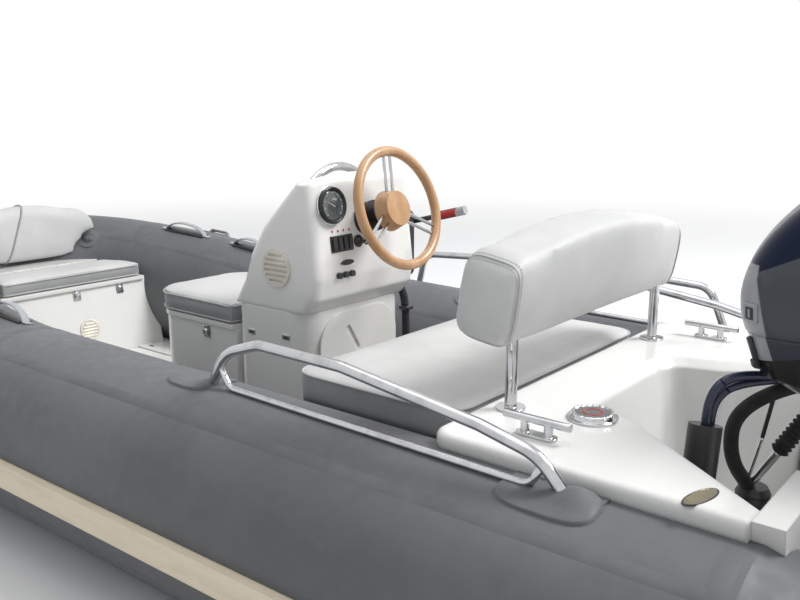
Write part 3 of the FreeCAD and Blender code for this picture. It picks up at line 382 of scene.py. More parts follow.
def sweep(name, line, radius, look, sides, body="boat", closed=False, squash=1.0, up=None):
    """A round or flattened bar along a line; its radius may be a function of the share along it."""
    verts, side = [], None
    count = len(line)
    for i, p in enumerate(line):
        ahead = line[(i + 1) % count] if closed or i < count - 1 else p
        behind = line[i - 1] if closed or i > 0 else p
        tangent = (ahead - behind).normalized()
        if up is not None:
            side = tangent.cross(up).normalized()
        elif side is None:
            side = tangent.orthogonal().normalized()
        else:
            side = (side - tangent * side.dot(tangent)).normalized()
        size = radius(i / max(1, count - 1)) if callable(radius) else radius
        verts += ring(p, side, tangent.cross(side), size, size * squash, sides)
    return add_mesh(name, verts, tube_faces(count, sides, closed), look, body)


def lathe(name, centre, axis, profile, look, count=48):
    """Revolve (radius, height) points about an axis through centre."""
    axis = axis.normalized()
    side = axis.orthogonal().normalized()
    verts = []
    for radius, height in profile:
        verts += ring(centre + axis * height, side, axis.cross(side), radius, radius, count)
    return add_mesh(name, verts, tube_faces(len(profile), count), look)


def block(name, centre, size, look, bevel, turn=None, body="boat"):
    """A box with rounded edges, turned about its centre."""
    bm = bmesh.new()
    bmesh.ops.create_cube(bm, size=1.0)
    bmesh.ops.scale(bm, vec=Vector(size), verts=bm.verts)
    bmesh.ops.bevel(bm, geom=bm.edges[:], offset=bevel, segments=3, affect="EDGES", profile=0.5)
    matrix = Matrix.Translation(Vector(centre)) @ (turn.to_4x4() if turn else Matrix.Identity(4))
    bmesh.ops.transform(bm, matrix=matrix, verts=bm.verts)
    return from_bmesh(name, bm, look, body)


def route(points, order=3):
    """The smooth line that a NURBS with these control points gives."""
    curve = bpy.data.curves.new("route", "CURVE")
    curve.dimensions = "3D"
    curve.resolution_u = 10
    spline = curve.splines.new("NURBS")
    spline.points.add(len(points) - 1)
    for point, p in zip(spline.points, points):
        point.co = (*p, 1.0)
    spline.order_u = order
    spline.use_endpoint_u = True
    obj = bpy.data.objects.new("route", curve)
    scene.collection.objects.link(obj)
    mesh = bpy.data.meshes.new_from_object(obj)
    line = [v.co.copy() for v in mesh.vertices]
    bpy.data.objects.remove(obj)
    bpy.data.meshes.remove(mesh)
    bpy.data.curves.remove(curve)
    return line


def fill_in(line, step):
    """The same line with more points, about a step apart."""
    dense = []
    for a, b in zip(line, line[1:]):
        n = max(1, int((b - a).length / step))
        dense += [a.lerp(b, k / n) for k in range(n)]
    return dense + [line[-1]]


def evenly(loop, pitch):
    """Points at one spacing round a closed loop."""
    out, left = [], 0.0
    for a, b in zip(loop, loop[1:] + loop[:1]):
        run = (b - a).length
        while left < run:
            out.append(a.lerp(b, left / run))
            left += pitch
        left -= run
    return out


def bent(points, radius):
    """Straight runs joined by arcs of one bend radius."""
    line = [points[0]]
    for before, at, after in zip(points, points[1:], points[2:]):
        a, b = (before - at).normalized(), (after - at).normalized()
        half = a.angle(b) / 2
        reach = min(radius / math.tan(half), 0.49 * (before - at).length, 0.49 * (after - at).length)
        size = reach * math.tan(half)
        centre = at + (a + b).normalized() * (size / math.sin(half))
        first, last = (at + a * reach - centre).normalized(), (at + b * reach - centre).normalized()
        count = max(3, int(first.angle(last) * size / 0.010))
        line += [centre + first.slerp(last, k / count) * size for k in range(count + 1)]
    return fill_in(line + [points[-1]], 0.03)


def ribbed(line, pitch, radius, depth):
    """Dense points and a radius for each, for corrugated hose."""
    fine = fill_in(line, pitch / 4)
    count = len(fine)
    return fine, lambda share: radius - depth * (0.5 + 0.5 * math.cos(2 * math.pi * share * (count - 1) / 4))


def modify(obj, kind, **settings):
    modifier = obj.modifiers.new(kind.lower(), kind)
    for key, value in settings.items():
        setattr(modifier, key, value)
    return modifier


def bake(obj):
    """Apply all modifiers."""
    bpy.context.view_layer.update()
    done = obj.evaluated_get(bpy.context.evaluated_depsgraph_get())
    mesh = bpy.data.meshes.new_from_object(done)
    obj.modifiers.clear()
    old = obj.data
    obj.data = mesh
    bpy.data.meshes.remove(old)
    for polygon in mesh.polygons:
        polygon.use_smooth = True


def skin_of(*objects):
    """A search tree over the faces of objects."""
    bm = bmesh.new()
    for obj in objects:
        bm.from_mesh(obj.data)
    tree = BVHTree.FromBMesh(bm)
    bm.free()
    return tree


def facing(normal):
    """Rotation whose z is the normal and whose y is as near up as it can be."""
    z = Vector(normal).normalized()
    y = (UP - z * UP.dot(z)).normalized()
    return Matrix((y.cross(z), y, z)).transposed()


# Collar's course on the port side, with its legs from stern to stem: a kind, a length or radius, and an angle
COLLAR_STERN = Vector((-1.680, 0.58768, 0.20204))
FLARE, SHEER, LIFT, BOW = (math.radians(degrees) for degrees in (1.66, 0.69, 6.0, 24.0))
SIDE_RUN, LIFT_RADIUS, BOW_RADIUS, NOSE_OVERRUN = 2.08004, 2.400, 2.000, 0.010
NOSE_Y = COLLAR_STERN.y + (SIDE_RUN + LIFT_RADIUS * LIFT) * math.sin(FLARE)
NOSE_RADIUS = (NOSE_Y - BOW_RADIUS * (math.cos(FLARE) - math.cos(BOW))) / math.cos(BOW)
COLLAR = (("run", SIDE_RUN, 0.0), ("lift", LIFT_RADIUS, LIFT), ("turn", BOW_RADIUS, BOW + FLARE),
          ("turn", NOSE_RADIUS, math.radians(90.0) - BOW), ("run", NOSE_OVERRUN, 0.0))
# A ray's length that passes the skin from the course, and the radius that turns a width into an angle
COLLAR_REACH, COLLAR_RADIUS = 0.4, 0.21
TAPE_ROWS, TAPE_SINK = 5, 0.0006
tube_skin = skin_of(NODES["tube_sides"], NODES["tube_bows"], NODES["tube_cones"])


def collar_at(distance, side):
    """Centre, out and up of the collar at a distance from the stern; side -1 is starboard."""
    at, out = COLLAR_STERN, Vector((-math.sin(FLARE), math.cos(FLARE), 0))
    ahead = Vector((math.cos(FLARE) * math.cos(SHEER), math.sin(FLARE) * math.cos(SHEER), math.sin(SHEER)))
    up = ahead.cross(out)
    for kind, size, angle in COLLAR:
        part = min(distance, size if kind == "run" else size * angle)
        distance -= part
        if kind == "run":
            at = at + ahead * part
            continue
        centre, axis = (at + up * size, -out) if kind == "lift" else (at - out * size, -up)
        turn = Matrix.Rotation(part / size, 3, axis)
        at = centre + turn @ (at - centre)
        ahead, out, up = turn @ ahead, turn @ out, turn @ up
    out = Vector((-ahead.y, ahead.x, 0)).normalized()
    flip = Vector((1, side, 1))
    return at * flip, out * flip, ahead.cross(out) * flip


def over_collar(distance, degrees, height, side):
    """A point over the collar's skin, or None where a ray misses it, and the ray's way out."""
    centre, out, up = collar_at(distance, side)
    a = math.radians(degrees)
    ray = out * math.cos(a) + up * math.sin(a)
    spot = tube_skin.ray_cast(centre, ray, COLLAR_REACH)[0]
    return (None if spot is None else spot + ray * height), ray


def tape(name, distances, angles, width, side, thick=0.0012):
    """A flat strip glued to the collar: along it at one angle, or round it at one distance."""
    verts, faces, last = [], [], None
    for distance, degrees in [(d, a) for d in distances for a in angles]:
        row = []
        for k in range(TAPE_ROWS):
            off = (k / (TAPE_ROWS - 1) - 0.5) * width
            if len(angles) == 1:
                place = distance, degrees + math.degrees(off / COLLAR_RADIUS)
            else:
                place = distance + off, degrees
            row.append(over_collar(*place, thick if 0 < k < TAPE_ROWS - 1 else -TAPE_SINK, side)[0])
        if any(point is None for point in row):
            last = None
            continue
        start = len(verts)
        verts += row
        if last is not None:
            faces += [(last + k, last + k + 1, start + k + 1, start + k) for k in range(TAPE_ROWS - 1)]
        last = start
    add_mesh(name, verts, faces, "seam_fabric")


SEAM_INNER_START, SEAM_OUTER_START, SEAM_END, SEAM_RINGS = 0.43, 0.02, 3.78, (0.03, 2.06, 3.13)
SEAM_INNER_DEGREES, SEAM_OUTER_DEGREES, SEAM_POINTS = 128.0, 62.0, 110
for side, word in SIDES:
    tape(f"seam_inner_{word}", steps(SEAM_INNER_START, SEAM_END, SEAM_POINTS), [SEAM_INNER_DEGREES], 0.032,
         side)
    tape(f"seam_outer_{word}", steps(SEAM_OUTER_START, SEAM_END, SEAM_POINTS), [SEAM_OUTER_DEGREES], 0.030,
         side, 0.0009)
    for k, distance in enumerate(SEAM_RINGS):
        tape(f"seam_ring_{word}_{k}", [distance], steps(-70, 250, SEAM_POINTS), 0.045, side, 0.001)

# Grab straps on the collar's crown: a black pad under a raised moulded loop
LOOP_AT = {1: (2.25, 2.95), -1: (2.53, 2.92)}
LOOP_HALF, LOOP_RISE, LOOP_BASE, LOOP_LEAN = 0.105, 0.040, 0.003, 99.0


def loop_line(distance, reach, count, rise, side):
    """Points along the collar's crown, raised in the middle, and the way up at their end."""
    line = []
    for share in steps(-reach, reach, count):
        height = rise * max(0.0, 1.0 - share * share) ** 0.6 + LOOP_BASE
        point, ray = over_collar(distance + share * LOOP_HALF, LOOP_LEAN, height, side)
        line.append(point)
    return line, ray


for side, word in SIDES:
    for k, distance in enumerate(LOOP_AT[side]):
        line, ray = loop_line(distance, 1.25, 61, LOOP_RISE, side)
        sweep(f"grab_loop_{word}_{k}", line, 0.013, "pale_rubber", 16, squash=0.30, up=ray)
        line, _ = loop_line(distance, 1.0, 41, 0.0, side)
        sweep(f"grab_loop_pad_{word}_{k}", line, 0.024, "black_plastic", 16, squash=0.22, up=ray)

# Cushions
CLOTH_FRAMES, RIM_POINTS, RIM_REACH, PIPING_PITCH = 14, 120, 3.0, 0.006


def shrink(mesh, amount):
    bm = bmesh.new()
    bm.from_mesh(mesh)
    bm.normal_update()
    for v in bm.verts:
        v.co -= v.normal * amount
    bm.to_mesh(mesh)
    bm.free()


def even_out(mesh, field, rounds):
    """Average a field of moves over neighbouring points."""
    pairs = np.empty(len(mesh.edges) * 2, dtype=np.int32)
    mesh.edges.foreach_get("vertices", pairs)
    count = np.bincount(pairs, minlength=len(field)).astype(float)[:, None]
    a, b = pairs[0::2], pairs[1::2]
    for _ in range(rounds):
        total = np.zeros_like(field)
        np.add.at(total, a, field[b])
        np.add.at(total, b, field[a])
        field = field * 0.4 + total / count * 0.6
    return field


def points_of(mesh):
    points = np.empty(len(mesh.vertices) * 3)
    mesh.vertices.foreach_get("co", points)
    return points.reshape(-1, 3)


def cushion(name, node, body, inset, pressure, cap, voxel=0.008, flat=False, smooth=8, even=14):
    """A padded copy of a CAD pad, swollen by air pressure up to a cap; a flat one keeps its underside."""
    mesh = NODES[node].data.copy()
    mesh.name = name
    obj = bpy.data.objects.new(name, mesh)
    scene.collection.objects.link(obj)
    modify(obj, "REMESH", mode="VOXEL", voxel_size=voxel, use_smooth_shade=True)
    bake(obj)
    shrink(obj.data, inset)
    modify(obj, "SMOOTH", factor=0.5, iterations=smooth)
    bake(obj)
    start = points_of(obj.data)
    cloth = modify(obj, "CLOTH")
    cloth.settings.use_pressure = True
    cloth.settings.uniform_pressure_force = pressure
    cloth.settings.effector_weights.gravity = 0.0
    cloth.settings.quality = 5
    cloth.collision_settings.use_collision = False
    cloth.point_cache.frame_start, cloth.point_cache.frame_end = 1, CLOTH_FRAMES
    for number in range(1, CLOTH_FRAMES + 1):
        scene.frame_set(number)
    bake(obj)
    scene.frame_set(1)
    move = points_of(obj.data) - start
    length = np.linalg.norm(move, axis=1, keepdims=True)
    done = start + even_out(obj.data, move * np.minimum(1.0, cap / np.maximum(length, 1e-9)), even)
    if flat:
        done[:, 2] = np.maximum(done[:, 2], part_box(node)[0].z)
    obj.data.vertices.foreach_set("co", done.ravel())
    obj.data.update()
    modify(obj, "SUBSURF", levels=1, render_levels=1)
    bake(obj)
    obj.data.materials.clear()
    obj.data.materials.append(LOOKS["vinyl"])
    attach(obj, body)
    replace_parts(obj, node)
    return obj


def paint_shaded_sides(obj, limit):
    """Side faces of a pad take a darker copy of the vinyl, as painted shade."""
    obj.data.materials.append(LOOKS["vinyl_dark_and_shade"])
    for polygon in obj.data.polygons:
        if abs(polygon.normal.z) < limit:
            polygon.material_index = 1


def piping(name, skin, path, radius, look, body="boat", sink=0.2):
    """A sewn cord that follows the pad's surface nearest to a rough loop."""
    line = []
    for p in fill_in(path + path[:1], PIPING_PITCH)[:-1]:
        spot, normal, _, _ = skin.find_nearest(p)
        line.append(spot + normal * radius * (1 - sink))
    for _ in range(6):
        line = [(line[i - 1] + line[(i + 1) % len(line)]) * 0.25 + line[i] * 0.5 for i in range(len(line))]
    sweep(name, line, radius, look, 8, body, True)


def rim_of(obj, skin, level):
    """Points round a pad at one height, found from outside it."""
    points = points_of(obj.data)
    centre = (Vector(points.min(axis=0)) + Vector(points.max(axis=0))) / 2
    centre.z = level
    hits = [skin.ray_cast(centre + ray * RIM_REACH, -ray)[0]
            for ray in ring(Vector((0, 0, 0)), AHEAD, PORT, 1.0, 1.0, RIM_POINTS)]
    return [hit for hit in hits if hit is not None]


def section(obj, y, slant=0.0, level=0.0):
    """A pad's outline in the plane y, in order; slant leans the plane about a level."""
    bm = bmesh.new()
    bm.from_mesh(obj.data)
    cut = bmesh.ops.bisect_plane(bm, geom=bm.verts[:] + bm.edges[:] + bm.faces[:], plane_co=(0, y, level),
                                 plane_no=(0, 1, slant))
    edges = [e for e in cut["geom_cut"] if isinstance(e, bmesh.types.BMEdge)]
    joined = {}
    for e in edges:
        for v in e.verts:
            joined.setdefault(v, []).append(e)
    line, v, last = [], edges[0].verts[0], None
    while True:
        line.append(v.co.copy())
        ahead = next((e for e in joined[v] if e is not last), None)
        if ahead is None or len(line) > len(edges):
            break
        v, last = ahead.other_vert(v), ahead
        if v is edges[0].verts[0]:
            break
    bm.free()
    return line


def stitches(name, skin, line, length=0.0042, radius=0.0008, lift=0.0003):
    """A row of thread stitches lying on a pad."""
    bm = bmesh.new()
    for a, b in zip(line, line[1:] + line[:1]):
        ahead = (b - a).normalized()
        spot, normal, _, _ = skin.find_nearest(a)
        side = ahead.cross(normal).normalized()
        rows = []
        for share, size in ((-0.5, 0.3), (-0.3, 1.0), (0.3, 1.0), (0.5, 0.3)):
            rows.append([bm.verts.new(spot + ahead * (share * length)
                                      + normal * (lift + math.sin(t) * radius * size)
                                      + side * (math.cos(t) * radius * size))
                         for t in steps(0.0, math.pi, 4)])
        for one, two in zip(rows, rows[1:]):
            for k in range(3):
                bm.faces.new((one[k], one[k + 1], two[k + 1], two[k]))
    bmesh.ops.recalc_face_normals(bm, faces=bm.faces)
    from_bmesh(name, bm, "stitch")


# Seats rest flat, with their sides darkened as painted shade, and two rounds of piping
seats = []
for word, name, node, body, inset, cap, voxel, limit in (
        ("bench", "rear_bench_cushion", "bench_cushion", "boat", 0.004, 0.009, 0.009, 0.55),
        ("pod", "pod_seat_cushion", "front_cushion", "pod_lid", 0.003, 0.007, 0.006, 0.55),
        ("bow", "bow_seat_cushion", "bow_cushion", "bow_lid", 0.003, 0.007, 0.006, 0.45)):
    seat = cushion(name, node, body, inset, 3.0, cap, voxel, flat=True)
    # Faces steeper than the limit take the darker vinyl as painted shade
    paint_shaded_sides(seat, limit)
    seats.append((word, seat, body))
bow_pad = cushion("bow_back_pad", "bow_pad", "boat", 0.001, 3.0, 0.010, smooth=34, even=24)
backrest = cushion("backrest_cushion", "backrest_pad", "boat", 0.001, 3.5, 0.014, 0.009, smooth=40, even=70)
for word, seat, body in seats:
    skin = skin_of(seat)
    heights = points_of(seat.data)[:, 2]
    for k, level in enumerate((heights.max() - 0.016, heights.min() + 0.008)):
        piping(f"{word}_piping_{k}", skin, rim_of(seat, skin, level), 0.0032, "vinyl_piping", body)

# Welted seams at the backrest's ends with a row of stitches on each side, and a strap round the bow pad
SEAM_Y, SEAM_WELT, STITCH_OFF, STITCH_PITCH = 0.412, 0.0020, 0.007, 0.0065
STRAP_Y, STRAP_SLANT, STRAP_LEVEL, STRAP_RADIUS = 0.018, 0.45, 0.70, 0.004
skin = skin_of(backrest)
for side, word in SIDES:
    y = side * SEAM_Y
    loop = evenly(section(backrest, y), PIPING_PITCH)
    piping(f"backrest_seam_{word}_welt", skin, loop, SEAM_WELT, "vinyl_piping", sink=0.35)
    for k, off in enumerate((-STITCH_OFF, STITCH_OFF)):
        loop = evenly(section(backrest, y + off), STITCH_PITCH)
        stitches(f"backrest_seam_{word}_stitches_{k}", skin, loop)
loop = evenly(section(bow_pad, STRAP_Y, STRAP_SLANT, STRAP_LEVEL), PIPING_PITCH)
piping("bow_pad_strap", skin_of(bow_pad), loop, STRAP_RADIUS, "vinyl_dark_and_shade", sink=0.4)

# Rails and hoops as smooth bent tube
RAIL_Y, RAIL_RADIUS, RAIL_SIDES = 0.62, 0.0125, 24
RAIL_UPPER = ((-0.428, 0.468), (-0.480, 0.566), (-0.600, 0.606), (-0.850, 0.604), (-1.190, 0.560),
              (-1.316, 0.532), (-1.392, 0.4486))
RAIL_LOWER = ((-0.4655, 0.536), (-0.496, 0.4843), (-1.300, 0.4737), (-1.3275, 0.526))
RAIL_UPPER_BEND, RAIL_LOWER_BEND, RAIL_LOWER_RADIUS = 0.110, 0.030, 0.008
WELD_RADIUS, WELD_BEAD = 0.0082, 0.0022
SIDE_HOOP_Y, SIDE_HOOP_BEND = -0.750, 0.060
SIDE_HOOP = ((0.012, 0.430), (-0.022, 0.572), (-0.600, 0.607), (-1.118, 0.584), (-1.186, 0.425))
HOOP_X, HOOP_HALF, HOOP_LOW, HOOP_TOP = -0.272, 0.155, 0.838, 0.955


def bar(name, line, node, radius=RAIL_RADIUS, sides=RAIL_SIDES, closed=False):
    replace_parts(sweep(name, line, radius, "stainless", sides, closed=closed), node)


def upright(places, y, bend):
    """A bent line in an upright plane."""
    return bent([Vector((x, y, z)) for x, z in places], bend)


for side, word in SIDES:
    y = side * RAIL_Y
    bar(f"rail_upper_{word}", upright(RAIL_UPPER, y, RAIL_UPPER_BEND), "grab_rails")
    bar(f"rail_lower_{word}", upright(RAIL_LOWER, y, RAIL_LOWER_BEND), "grab_rails", RAIL_LOWER_RADIUS, 18)
    for k, (x, z) in enumerate((RAIL_LOWER[0], RAIL_LOWER[-1])):
        weld = ring(Vector((x, y, z - 0.004)), AHEAD, PORT * side, WELD_RADIUS, WELD_RADIUS, 16)
        bar(f"rail_weld_{word}_{k}", weld, "grab_rails", WELD_BEAD, 8, True)
bar("side_hoop_tube", upright(SIDE_HOOP, SIDE_HOOP_Y, SIDE_HOOP_BEND), "side_hoop")
rise = HOOP_TOP - HOOP_LOW
size = (HOOP_HALF ** 2 + rise ** 2) / (2 * rise)
lean = math.asin(HOOP_HALF / size)
bar("console_hoop_tube", [Vector((HOOP_X, size * math.sin(t), HOOP_TOP - size + size * math.cos(t)))
                          for t in steps(lean, -lean, 41)], "console_hoop")

# Fabric pads drawn up over the rails' feet
FOOT_ROWS, FOOT_COUNT, FOOT_SQUARE, FOOT_THICK, FOOT_SINK = 30, 40, 0.62, 0.0052, 0.001
FOOT_SPREAD_X, FOOT_SPREAD_Y, OVER_COLLAR_Z = 0.042, 0.036, 0.8
for side, word in SIDES:
    for end, x0, x1, y0, y1, foot_x, lift in (("fore", -0.450, -0.300, 0.555, 0.672, -0.430, 0.012),
                                              ("aft", -1.440, -1.245, 0.588, 0.682, -1.388, 0.022)):
        verts = []
        for i in range(FOOT_ROWS + 1):
            for j in range(FOOT_COUNT):
                share, t = i / FOOT_ROWS, 2 * math.pi * j / FOOT_COUNT
                c, d = (math.copysign(abs(v) ** FOOT_SQUARE, v) for v in (math.cos(t), math.sin(t)))
                x = (x0 + x1) / 2 + (x1 - x0) / 2 * share * c
                y = (y0 + y1) / 2 + (y1 - y0) / 2 * share * d
                spot, normal, _, _ = tube_skin.ray_cast(Vector((x, side * y, OVER_COLLAR_Z)), -UP)
                off_x, off_y = (x - foot_x) / FOOT_SPREAD_X, (y - RAIL_Y) / FOOT_SPREAD_Y
                bump = lift * math.exp(-off_x ** 2 - off_y ** 2)
                if end == "fore" or d > -0.5:
                    bump *= 1.0 - (1.0 - min(1.0, (1.0 - share) * 7.0)) ** 2
                thick = FOOT_THICK if i < FOOT_ROWS else -FOOT_SINK
                verts.append(Vector((x, side * y, spot.z)) + normal * thick + UP * bump)
        add_mesh(f"rail_foot_{end}_{word}", verts, tube_faces(FOOT_ROWS + 1, FOOT_COUNT, capped=False),
                 "tube_fabric")

# Dash fittings
FOOT, HEAD = Vector((-0.390, 0, 0.660)), Vector((-0.365, 0, 0.860))
DASH_UP = (HEAD - FOOT).normalized()
DASH_OUT = Vector((-DASH_UP.z, 0, DASH_UP.x))


def on_dash(y, up, out=0.0):
    return FOOT + DASH_UP * up + DASH_OUT * out + Vector((0, y, 0))


def dash_turn(roll=0.0):
    """Rotation whose x is port, y is up the dash and z points into it."""
    return Matrix((PORT, DASH_UP, -DASH_OUT)).transposed() @ Matrix.Rotation(roll, 3, "Z")


def on_dial(degrees):
    """The way from the dial's centre at an angle, and a way square to it."""
    a = math.radians(degrees)
    ray = PORT * -math.cos(a) + DASH_UP * math.sin(a)
    return ray, DASH_OUT.cross(ray).normalized()


DIAL_AT = on_dash(0.135, 0.200)
DIAL_STEPS, DIAL_START, DIAL_SWEEP, NEEDLE_ANGLE = 40, 225, 270, 150
lathe("gauge_bezel", DIAL_AT, DASH_OUT, (
    (0.0425, 0.0105), (0.0435, 0.0150), (0.0465, 0.0168), (0.0500, 0.0158), (0.0512, 0.0125),
    (0.0505, 0.0080), (0.0430, 0.0080)), "dial")
lathe("gauge_trim", DIAL_AT, DASH_OUT, (
    (0.0512, 0.0050), (0.0535, 0.0050), (0.0540, 0.0020), (0.0530, 0.0004), (0.0502, 0.0004)), "chrome")
lathe("gauge_face", DIAL_AT, DASH_OUT, (
    (0.001, 0.0122), (0.02, 0.0120), (0.035, 0.0116), (0.0435, 0.0110), (0.0435, 0.0100)), "gauge_glass")
bm = bmesh.new()
for k in range(DIAL_STEPS + 1):
    ray, cross = on_dial(DIAL_START - DIAL_SWEEP * k / DIAL_STEPS)
    inner, half = (0.0315, 0.0007) if k % 5 == 0 else (0.0345, 0.0004)
    bm.faces.new([bm.verts.new(DIAL_AT + DASH_OUT * 0.0126 + ray * r + cross * half * s)
                  for r, s in ((inner, -1), (0.0380, -1), (0.0380, 1), (inner, 1))])
ray, cross = on_dial(NEEDLE_ANGLE)
bm.faces.new([bm.verts.new(DIAL_AT + DASH_OUT * 0.0128 + p)
              for p in (-ray * 0.008 + cross * 0.0012, -ray * 0.008 - cross * 0.0012, ray * 0.031)])
from_bmesh("gauge_marks", bm, "dial_ink", smooth=False)

# Key switch, blank oval plate and rocker lamps
KEY_Y, KEY_UP = 0.037, 0.091
lathe("key_switch", on_dash(KEY_Y, KEY_UP), DASH_OUT, (
    (0.0005, 0.016), (0.009, 0.016), (0.0105, 0.0145), (0.0105, 0.006), (0.0165, 0.0055), (0.0175, 0.004),
    (0.0175, 0.0)), "black_plastic")
block("key", on_dash(KEY_Y, KEY_UP, 0.0245), (0.003, 0.016, 0.020), "chrome", 0.0012, dash_turn(0.5))
lathe("key_tag", on_dash(KEY_Y, KEY_UP, 0.0335) - DASH_UP * 0.002, PORT, (
    (0.0005, -0.0035), (0.0085, -0.0035), (0.0095, -0.002), (0.0095, 0.002), (0.0085, 0.0035),
    (0.0005, 0.0035)), "black_plastic")


def oval_plate(name, centre, across, along, half_a, half_b, thick, look, rim, count=56):
    """A thin oval plate whose raised rim has a look of its own."""
    out = across.cross(along).normalized()
    rows = ((1.0, 0.0), (1.0, 0.6), (0.975, 1.0), (0.90, 1.0), (0.88, 0.75), (0.4, 0.8), (0.02, 0.82))
    verts = []
    for share, height in rows:
        verts += ring(centre + out * (thick * height), across, along, half_a * share, half_b * share, count)
    obj = add_mesh(name, verts, tube_faces(len(rows), count), look, smooth=False)
    obj.data.materials.append(LOOKS[rim])
    for polygon in obj.data.polygons:
        if all(v // count <= 3 for v in polygon.vertices):
            polygon.material_index = 1


oval_plate("dash_plate", on_dash(0.091, 0.037), -PORT, DASH_UP, 0.030, 0.0085, 0.0022, "dial", "chrome")
LAMPS, LAMP_Y, LAMP_PITCH, LAMP_UP = 4, 0.139, 0.0227, 0.128
for k in range(LAMPS):
    block(f"rocker_lamp_{k}", on_dash(LAMP_Y - LAMP_PITCH * k, LAMP_UP, 0.0016), (0.004, 0.006, 0.003),
          "red_rubber", 0.001, dash_turn())

# Small dark plates on the console's side, as hatch catches
CATCH_Y, CATCH_SLOT_Y = 0.2212, 0.2232
for k, (x, z) in enumerate(((-0.121, 0.479), (-0.265, 0.485))):
    block(f"side_catch_{k}", (x, CATCH_Y, z), (0.030, 0.0034, 0.016), "stainless", 0.0012)
    block(f"side_catch_slot_{k}", (x, CATCH_SLOT_Y, z), (0.018, 0.0016, 0.005), "black_plastic", 0.0006)

# Conduit down the console's starboard aft edge
CONDUIT = ((-0.305, -0.236, 0.612), (-0.305, -0.237, 0.575), (-0.330, -0.239, 0.535), (-0.336, -0.238, 0.42),
           (-0.334, -0.2385, 0.28), (-0.336, -0.238, 0.16), (-0.334, -0.238, 0.108))
RIB_PITCH, CONDUIT_RADIUS, RIB_DEPTH = 0.007, 0.0135, 0.0022
line, size = ribbed(route([Vector(p) for p in CONDUIT]), RIB_PITCH, CONDUIT_RADIUS, RIB_DEPTH)
sweep("console_conduit", line, size, "sleeve_cloth", 14)
for k, z in enumerate((0.50, 0.33, 0.17)):
    block(f"conduit_clip_{k}", (-0.335, -0.2385, z), (0.034, 0.036, 0.012), "black_plastic", 0.004)

# Plain round vent on the locker's face
VENT_AT, VENT_TURN = Vector((1.1750, -0.030, 0.222)), facing((-0.98, 0, 0.2))
SLATS, SLAT_PITCH, SLAT_REACH, SLAT_HALF = 5, 0.0130, 0.036, 0.004
SLAT_TURN = VENT_TURN @ Matrix.Rotation(math.radians(-28), 3, "X")
lathe("locker_vent", VENT_AT - VENT_TURN @ Vector((0, 0, 0.001)), VENT_TURN @ UP, (
    (0.0440, 0.0), (0.0440, 0.0035), (0.0425, 0.0052), (0.0385, 0.0055), (0.0370, 0.0035), (0.0005, 0.0032)),
    "cream_plastic")
for k in range(SLATS):
    rise = (k - SLATS // 2) * SLAT_PITCH
    half = math.sqrt(SLAT_REACH ** 2 - (abs(rise) + SLAT_HALF) ** 2)
    block(f"locker_vent_slat_{k}", VENT_AT + VENT_TURN @ Vector((0, rise, 0.0045)),
          (2 * half, 0.0070, 0.0022), "cream_plastic", 0.0008, SLAT_TURN)

# Blank oval plate on the port quarter and inflation valves on the bow tubes
QUARTER_PLATE_AT, along = Vector((-1.569, 0.535, 0.4996)), Vector((-0.22, -0.975, 0)).normalized()
VALVE_X, VALVE_Y, VALVE_Z = 1.5228, 0.262, 0.5462
oval_plate("quarter_plate", QUARTER_PLATE_AT, along, UP.cross(along), 0.048, 0.017, 0.0020, "bronze", "dial")
for side, word in SIDES:
    spot, normal, _, _ = tube_skin.find_nearest(Vector((VALVE_X, side * VALVE_Y, VALVE_Z)))
    lathe(f"valve_{word}", spot, normal, (
        (0.0280, -0.001), (0.0275, 0.0022), (0.0240, 0.0035), (0.0180, 0.0036), (0.0172, 0.0062),
        (0.0150, 0.0074), (0.0060, 0.0078), (0.0005, 0.0078)), "valve")
    lathe(f"valve_patch_{word}", spot, normal, (
        (0.0520, -0.0035), (0.0515, 0.0002), (0.0480, 0.0011), (0.0005, 0.0014)), "seam_fabric")

# Knurled grip and plain red ring on the filler cap
GRIP_RADIUS, GRIP_DEPTH, GRIP_RIBS, GRIP_POINTS, RED_RADIUS = 0.0405, 0.0012, 18, 144, 0.0190
low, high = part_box("fuel_filler")
cap = Vector(((low.x + high.x) / 2, (low.y + high.y) / 2, high.z))
grip = []
for k in range(GRIP_POINTS):
    t = 2 * math.pi * k / GRIP_POINTS
    size = GRIP_RADIUS + GRIP_DEPTH * math.cos(GRIP_RIBS * t)
    grip.append(cap + Vector((math.cos(t), math.sin(t), 0)) * size - UP * 0.001)
sweep("filler_grip", grip, 0.0034, "chrome", 10, closed=True)
sweep("filler_ring", ring(cap, AHEAD, PORT, RED_RADIUS, RED_RADIUS, 72), 0.0022, "red_rubber", 8, closed=True,
      squash=0.35, up=UP)

# Floor flange with two slotted holes
FLANGE_Y, FLANGE_Z, FLANGE_SLOT_Z = -0.270, 0.1095, 0.1142
block("floor_flange", (0.985, FLANGE_Y, FLANGE_Z), (0.40, 0.062, 0.009), "gelcoat", 0.004)
for k, x in enumerate((1.10, 0.87)):
    block(f"floor_flange_slot_{k}", (x, FLANGE_Y, FLANGE_SLOT_Z), (0.030, 0.012, 0.0012), "black_plastic",
          0.0005)

# Heights and places where the cowl's paint changes: navy above its line, and a pale nose
NAVY_LINE, NOSE_LINE, NOSE_TOP = (0.811, 0.8135), (-1.523, -1.517), (0.824, 0.828)
LOWER_NOSE_LINE, LOWER_BAND = (-1.5275, -1.525), (0.6345, 0.636)


